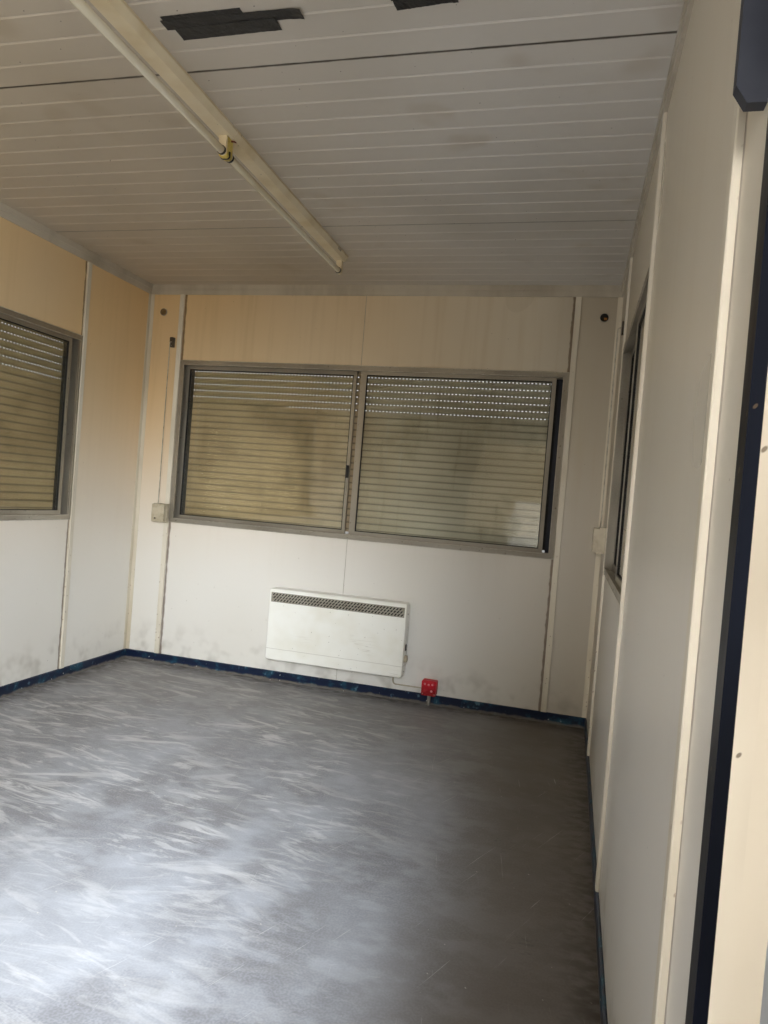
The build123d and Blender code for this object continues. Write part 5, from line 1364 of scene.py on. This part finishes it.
# %% Wire stub and vent holes of the farthest tray
wire = add_rod("tray_wire_stub", (0.0165, 1.221, ceiling_level - 0.034), 0.0026, 0.006, "X", 10)
pick(wire, "FACE", towards("+X"))
for bend, step in ((-30, (0.006, 0.001, 0.001)), (-35, (0.005, 0.003, 0.003))):
    bpy.ops.mesh.extrude_region_move(TRANSFORM_OT_translate={"value": step})
    bpy.ops.transform.rotate(value=math.radians(bend), orient_axis="Y",
                             center_override=(0.0165 + step[0], 1.221, ceiling_level - 0.034))
bpy.ops.transform.resize(value=(0.7, 0.7, 0.7))
leave_edit()
make_smooth(wire)
hand_over(wire, moulded_finish("brown_wire", paint(120, 52, 30), paint(92, 44, 28), 0.5, patch=0.01), "cabin",
          "dark_plastic")

# Painted shade: each vent hole is a shallow black disc standing for the dark inside of the tray.
vent_hole = add_rod("tray_vent_hole", (0.0380, 2.270, ceiling_level - 0.0165), 0.0013, 0.0006, "X", 6)
inset_faces(vent_hole, towards("+X"), (0.0003, -0.0002))
repeat(vent_hole, 10, (0, 0.0046, 0))
repeat(vent_hole, 4, (0, 0.0023, 0.0040))
hand_over(vent_hole, black_plastic, "cabin", "black_plastic")

# %% [markdown]
# ## Vents and shutter winders
# The left vent in the end wall has a closed cover: a disc with a rim, dished in its middle. The
# right vent has lost its cover, so one sees a dark hole with a strip of bent brass in it. The hole's
# hollow is near-black, a painted shade.

# %% Covers of the two vents
left_vent, right_vent = solid_boxes("wall_vents")


def vent_middle(box):
    """The middle of a vent on its room face."""
    return ((box[0].x + box[1].x) / 2, box[0].y, (box[0].z + box[1].z) / 2)


place_x, place_y, place_z = vent_middle(left_vent)
vent_disc = add_rod("left_vent_cover", (place_x, place_y + 0.0004, place_z), 0.0195, 0.0028, "Y", 28)
inset_faces(vent_disc, towards("-Y"), (0.0035, 0), (0.0020, -0.0018), (0.0060, 0.0006))
make_smooth(vent_disc)
hand_over(vent_disc, moulded_finish("brown_vent_cover", paint(126, 104, 68), paint(88, 70, 44), 0.45, patch=0.012),
          "cabin", "dark_plastic")

place_x, place_y, place_z = vent_middle(right_vent)
# Painted shade: the vent's hollow and its floor are near-black.
vent_hollow = sleeve("right_vent_hollow", (place_x, place_y - 0.0004, place_z), 0.0205, 0.0024, "Y", 0.0035)
vent_floor = add_rod("vent_floor", (place_x, place_y + 0.0010, place_z), 0.0172, 0.0008, "Y", 28)
inset_faces(vent_floor, towards("-Y"), (0.003, -0.0002))
hand_over(make_smooth(join_pieces("right_vent_hollow", [vent_hollow, vent_floor])), shade_black_metal, "cabin",
          "dark_plastic")
brass_strip = add_block("vent_brass_strip", (place_x - 0.001, place_y - 0.0012, place_z - 0.0125),
                        (place_x + 0.014, place_y - 0.0002, place_z - 0.0010))
bevel_picked(brass_strip, lambda middle, way: abs(way.x) > 0.9 and middle.y < place_y - 0.001, 0.0008, 3)
hand_over(brass_strip, zinc_finish("old_brass", paint(226, 160, 78), paint(168, 104, 44), 0.004, 0.85, 0.3),
          "cabin", "galvanised_steel")

# %% [markdown]
# A shutter winder is a plastic box that the cord runs into. On its face it has the hole for a crank
# with a raised rim beside it, one screw, and on top a dark slot for the cord. The three winders get
# the same pieces: each is modelled once, facing -Y at the origin, and turned to its wall.

# %% Details of the winders
def room_side(low, high):
    """The middle of the room face of a thing on a wall, and the turn that makes -Y face the room."""
    middle = (low + high) / 2
    if high.y > end_face - 0.01:
        return Vector((middle.x, low.y, middle.z)), 0.0
    if low.x > 0:
        return Vector((low.x, middle.y, middle.z)), -math.pi / 2
    return Vector((high.x, middle.y, middle.z)), math.pi / 2


def winder_places(across, up):
    """One place on the faces of all three winders."""
    faces = [room_side(low, high) for low, high in solid_boxes("shutter_winders")]
    return [(middle + Matrix.Rotation(turn, 3, "Z") @ Vector((across, 0, up)), turn) for middle, turn in faces]


# Painted shade: the crank hole is a shallow black recess standing for the dark inside of the winder.
crank_hole = add_rod("crank_hole", (0, -0.0005, 0), 0.0062, 0.0014, "Y", 20)
inset_faces(crank_hole, towards("-Y"), (0.0015, -0.0008))
hand_over(copies_at(crank_hole, "winder_crank_holes", winder_places(-0.017, -0.033)), black_plastic, "cabin",
          "black_plastic")
crank_rim = sleeve("crank_rim", (0, -0.0008, 0), 0.0105, 0.0020, "Y", 0.0026)
crank_rims = copies_at(crank_rim, "winder_crank_rims", winder_places(-0.011, -0.032))
make_smooth(crank_rims)
hand_over(crank_rims, ivory, "cabin", "ivory_plastic")
# Painted shade: the cord slot is black, standing for the dark inside of the winder.
cord_slot = add_block("cord_slot", (-0.009, 0.022, -0.0003), (0.009, 0.034, 0.0010))
inset_faces(cord_slot, towards("+Z"), (0.002, -0.0006))
hand_over(copies_at(cord_slot, "winder_cord_slots", winder_places(0.0, 0.057)), black_plastic, "cabin",
          "black_plastic")
put_screws("winder_screws", winder_places(0.030, 0.044), 0.0030, 0.0014)

# %% [markdown]
# ## Lips of the window frames
# The room face of a window frame has two fine lips, which catch the light as bright lines: one at
# its outer edge and one round the opening. Both are rings, made as the seals are. Their aluminium
# is paler than the frame's, a painted highlight.

# %% Lips on the window frames
frame_face_width = 0.029
lips = []
for low, high in solid_boxes("window_frames"):
    through = "Y" if high.y > 2.95 else "X"
    side = low.y if through == "Y" else (low.x if low.x > 0 else high.x)
    out = -1 if through == "Y" or low.x > 0 else 1
    across = 0 if through == "Y" else 1
    axis = 1 - across
    flange_low, flange_high = Vector(low), Vector(high)
    if through == "Y":
        flange_low.x, flange_high.x = low.x + 0.014, high.x - 0.014
    for inset_by, lip_width in ((0.0006, 0.0026), (frame_face_width - 0.0036, 0.0034)):
        lip_low, lip_high = flange_low.copy(), flange_high.copy()
        lip_low[across] += inset_by
        lip_low.z += inset_by
        lip_high[across] -= inset_by
        lip_high.z -= inset_by
        lip_low[axis], lip_high[axis] = sorted((side - out * 0.0006, side + out * 0.0014))
        lip = ring("frame_lip", lip_low, lip_high, through, lip_width)
        bevel_edges(lip, 0.0005, 1)
        lips.append(lip)
# Painted highlight: the lips get a paler copy of the frame's aluminium.
highlight_aluminium = zinc_finish("highlight_aluminium_lips", paint(214, 210, 200), paint(186, 181, 168), 0.02, 0.75, 0.3)
hand_over(join_pieces("window_frame_lips", lips), highlight_aluminium, "cabin", "aluminium")

# %% [markdown]
# Beside a sash that stands a little open one looks at the shutter's guide. A dark brush on the
# guide's room side covers the ends of the slats. It is a strip whose free edge is pinched thin.

# %% Brushes on the shutter guides
brushes = []
for low, high in solid_boxes("shutter_guides"):
    end_wall = low.y > 2.9
    across = 0 if end_wall else 1
    window = [box for box in solid_boxes("window_frames")
              if (box[1].y > 2.95) == end_wall and (end_wall or box[0].x * low.x > 0)][0]
    window_middle = (window[0][across] + window[1][across]) / 2
    brush_low, brush_high = low.copy(), high.copy()
    if low[across] < window_middle:
        brush_low[across], brush_high[across] = high[across] - 0.004, high[across] + 0.019
    else:
        brush_low[across], brush_high[across] = low[across] - 0.019, low[across] + 0.004
    brush_low.z = curtain_base
    free_side = 1 if low[across] < window_middle else -1
    if end_wall:
        brush_low.y, brush_high.y = low.y + 0.0005, low.y + 0.0035
    elif low.x > 0:
        brush_low.x, brush_high.x = low.x + 0.0005, low.x + 0.0035
    else:
        brush_low.x, brush_high.x = high.x - 0.0035, high.x - 0.0005
    brush = add_block("guide_brush", brush_low, brush_high)
    pick(brush, "FACE", lambda middle, facing: facing[across] * free_side > 0.9)
    bpy.ops.transform.resize(value=(1, 0.4, 1) if end_wall else (0.4, 1, 1))
    leave_edit()
    brushes.append(brush)
hand_over(join_pieces("shutter_guide_brushes", brushes), rubber, "cabin", "black_plastic")

# %% [markdown]
# ## Screws of the window frames, guides, hinges and handles
# The frames' flanges are screwed to the panels at even steps. The places follow from each frame's
# own box: along the lower and upper flange first, then up both sides. The end window faces the
# camera, and the side windows face each other across the room.

# %% Screws in the window flanges
flange_places = []
for low, high in solid_boxes("window_frames"):
    long_axis = 0 if high.y > 2.95 else 1
    face = low.y if long_axis == 0 else (low.x if low.x > 0 else high.x)
    turn = 0.0 if long_axis == 0 else (-math.pi / 2 if low.x > 0 else math.pi / 2)
    spots = []
    length = high[long_axis] - low[long_axis]
    steps = max(2, round(length / 0.38))
    for step in range(steps + 1):
        along_flange = low[long_axis] + 0.030 + (length - 0.060) * step / steps
        spots += [(along_flange, low.z + 0.009), (along_flange, high.z - 0.009)]
    for height in (low.z + 0.34, high.z - 0.34):
        spots += [(low[long_axis] + (0.022 if long_axis == 0 else 0.009), height),
                  (high[long_axis] - (0.022 if long_axis == 0 else 0.009), height)]
    for along_flange, height in spots:
        screw_place = (along_flange, face, height) if long_axis == 0 else (face, along_flange, height)
        flange_places.append((screw_place, turn))
put_screws("window_flange_screws", flange_places, 0.0034, 0.0016)

# %% [markdown]
# The cord guides have one screw each. The hinge plates have three on the frame's side and three on
# the door's side, and every handle plate has two. The door's own screws ride on the door.

# %% Screws of the guides, hinges and handles
guide_places = []
for low, high in solid_boxes("cord_guides"):
    middle, turn = room_side(low, high)
    guide_places.append(((middle.x, middle.y, low.z + 0.010), turn))
put_screws("cord_guide_screws", guide_places, 0.0030, 0.0014)
hinge_heights = (0.008, 0.024, 0.040)
frame_hinge_places = [((low.x + 0.003, high.y - 0.012, low.z + up), math.pi / 2)
                      for low, high in solid_boxes("frame_hinges") for up in hinge_heights]
put_screws("frame_hinge_screws", frame_hinge_places, 0.0034, 0.0014)
leaf_hinge_places = [((high.x - 0.010, low.y + 0.003, low.z + up), math.pi)
                     for low, high in solid_boxes("leaf_hinges") for up in hinge_heights]
put_screws("leaf_hinge_screws", leaf_hinge_places, 0.0034, 0.0014, "door")

# %% [markdown]
# Each handle plate also carries the cylinder of the lock below the lever: a short rod, whose face is
# inset and has a slit pressed into it.

# %% Lock cylinders and handle screws
handle_low, handle_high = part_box("door_handles")
plate_x = handle_high.x - 0.019
plate_faces = ((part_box("door_leaf_panel")[1].y + 0.006, math.pi), (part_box("door_leaf_panel")[0].y - 0.006, 0.0))
cylinder_places, handle_screw_places = [], []
for face_y, turn in plate_faces:
    cylinder_places.append(((plate_x, face_y, handle_low.z + 0.062), turn))
    for height in (handle_low.z + 0.022, handle_high.z - 0.022):
        handle_screw_places.append(((plate_x, face_y, height), turn))
cylinder = add_rod("lock_cylinder", (0, -0.0020, 0), 0.0085, 0.0044, "Y", 24)
pick(cylinder, "FACE", towards("-Y"))
bpy.ops.mesh.inset(thickness=0.0015, depth=0)
bpy.ops.transform.resize(value=(0.22, 1, 1))
bpy.ops.mesh.inset(thickness=0.0004, depth=-0.0015)
leave_edit()
hand_over(copies_at(cylinder, "lock_cylinders", cylinder_places), bright_zinc, "door", "galvanised_steel")
put_screws("handle_screws", handle_screw_places, 0.0036, 0.0018, "door")

# %% [markdown]
# ## Outside
# The roof sheet is held by a screw with a washer on every crest of its ribs, in four rows. The
# crests are found from the CAD mesh: its highest points come in pairs, one pair to a rib. The end
# faces of the shutter boxes are riveted.

# %% Roof screws and rivets
roof_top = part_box("roof_sheet")[1].z
crest_edges = sorted({round(point.co.y, 4) for point in cabin_nodes["roof_sheet"].data.vertices
                      if point.co.z > roof_top - 0.0002})
crests = [(first + second) / 2 for first, second in zip(crest_edges[::2], crest_edges[1::2])]
print("roof crests:", len(crests))
roof_screw = add_rod("roof_screw", (0, 0, 0.0006), 0.0085, 0.0014, "Z", 12)
pick(roof_screw, "FACE", towards("+Z"))
bpy.ops.mesh.inset(thickness=0.0035)
bpy.ops.mesh.extrude_region_move(TRANSFORM_OT_translate={"value": (0, 0, 0.0045)})
bpy.ops.transform.resize(value=(0.92, 0.92, 1))
leave_edit()
roof_places = [((x, crest, roof_top), 0) for crest in crests for x in (-1.30, -0.45, 0.45, 1.30)]
hand_over(copies_at(roof_screw, "roof_sheet_screws", roof_places), bright_zinc, "cabin", "galvanised_steel")

rivet_places = []
for low, high in solid_boxes("shutter_boxes"):
    middle_z = (low.z + high.z) / 2
    if high.y > 3.0:
        middle_y = (low.y + high.y) / 2 - 0.02
        for height in (middle_z - 0.02, middle_z + 0.045):
            rivet_places += [((low.x, middle_y, height), -math.pi / 2), ((high.x, middle_y, height), math.pi / 2)]
    else:
        middle_x = (low.x + high.x) / 2 - math.copysign(0.02, low.x)
        for height in (middle_z - 0.02, middle_z + 0.045):
            rivet_places += [((middle_x, low.y, height), 0), ((middle_x, high.y, height), math.pi)]
rivet = add_rod("rivet", (0, -0.0009, 0), 0.0048, 0.0020, "Y", 14)
inset_faces(rivet, towards("-Y"), (0.0018, 0.0006))
hand_over(copies_at(rivet, "shutter_box_rivets", rivet_places), bright_zinc, "cabin", "galvanised_steel")

# %% [markdown]
# ## Light and floor
# The real room has one light: the daylight of its doorway, behind the camera on the right. It falls
# downwards and to the left, so the floor and the lower walls there are brighter than the ceiling and
# the right side. A soft lamp the size of the doorway gives most of that. Narrower ones aim the rest
# at the floor, the end wall, the joint strip beside the camera and the ceiling, and a warm one at
# the front wall stands for the light that comes back off the room. None shows itself to the camera.

# %% Lamps in the room
def soft_lamp(name, place, aim, width, height, power, colour, spread=180):
    """A rectangular lamp that the camera doesn't see."""
    lamp_data = bpy.data.lights.new(name, "AREA")
    lamp_data.shape = "RECTANGLE"
    lamp_data.size, lamp_data.size_y = width, height
    lamp_data.energy = power
    lamp_data.color = colour
    lamp_data.spread = math.radians(spread)
    lamp = bpy.data.objects.new(name, lamp_data)
    bpy.context.scene.collection.objects.link(lamp)
    lamp.location = place
    lamp.rotation_euler = (Vector(aim) - Vector(place)).to_track_quat("-Z", "Y").to_euler()
    lamp.visible_camera = False
    lamp.visible_glossy = False
    return lamp


soft_lamp("doorway_daylight", (1.16, -0.60, 1.40), (-1.0, -0.45, 0.52), 0.75, 1.3, 46, (0.93, 0.97, 1.0), 130)
soft_lamp("floor_daylight", (0.55, -0.50, 2.10), (0.20, 0.74, 0.15), 0.5, 0.5, 5.5, (0.80, 0.90, 1.0), 50)
soft_lamp("end_wall_daylight", (1.05, -1.35, 1.6), (-0.74, 2.9, 0.45), 0.6, 1.0, 8.2, (0.91, 0.96, 1.0), 41)
soft_lamp("strip_daylight", (1.10, -1.9, 1.4), (1.42, -0.05, 1.25), 0.3, 1.4, 2, (1.0, 0.97, 0.92), 30)
soft_lamp("front_wall_fill", (0.5, -2.7, 1.5), (-1.2, 2.9, 1.95), 1.4, 1.2, 3.3, (1.0, 0.77, 0.46), 60)
soft_lamp("ceiling_daylight", (0.9, -2.2, 1.0), (0.8, 0.3, 2.45), 0.8, 0.8, 3.6, (1.0, 0.98, 0.95), 80)
print("room lamps set")

# %% [markdown]
# Outside stands a plain studio: a pale floor, a pale world and one large soft lamp high on the left.
# The world shows white to the camera, to mirror reflections and through glass, and lights the cabin
# at a lower level, so that pale paint doesn't burn out.

# %% Studio floor, world and outside lamp
bpy.ops.object.select_all(action="DESELECT")
bpy.ops.mesh.primitive_plane_add(size=60, location=(0, 0, -0.001))
studio_floor = bpy.context.object
studio_floor.name = "studio_floor"
floor_paint, tree, shader, along = start_finish("studio_floor_paint", 0.9)
feed(tree, shader.inputs["Base Color"],
     blend_colours(tree, use_group(tree, stains, Size=4.0, From=0.3, To=0.8),
                   paint(226, 226, 224), paint(220, 220, 218)))
studio_floor.data.materials.append(floor_paint)

world = bpy.data.worlds.new("pale_studio")
bpy.context.scene.world = world
world.use_nodes = True
sky = world.node_tree
soft_light = sky.nodes["Background"]
soft_light.inputs["Color"].default_value = (1, 1, 1, 1)
soft_light.inputs["Strength"].default_value = 0.46
white_wall = add_node(sky, "ShaderNodeBackground")
white_wall.inputs["Strength"].default_value = 1.0
world_path = add_node(sky, "ShaderNodeLightPath")
seen = maths(sky, "MAXIMUM", world_path.outputs["Is Camera Ray"],
             maths(sky, "MAXIMUM", world_path.outputs["Is Glossy Ray"], world_path.outputs["Is Transmission Ray"]))
choose = add_node(sky, "ShaderNodeMixShader")
sky.links.new(seen, choose.inputs[0])
sky.links.new(soft_light.outputs[0], choose.inputs[1])
sky.links.new(white_wall.outputs[0], choose.inputs[2])
sky.links.new(choose.outputs[0], sky.nodes["World Output"].inputs["Surface"])
soft_lamp("studio_lamp", (-7, -7, 9), (0, 0, 1), 7, 7, 800, (1, 1, 1))
print("studio ready")
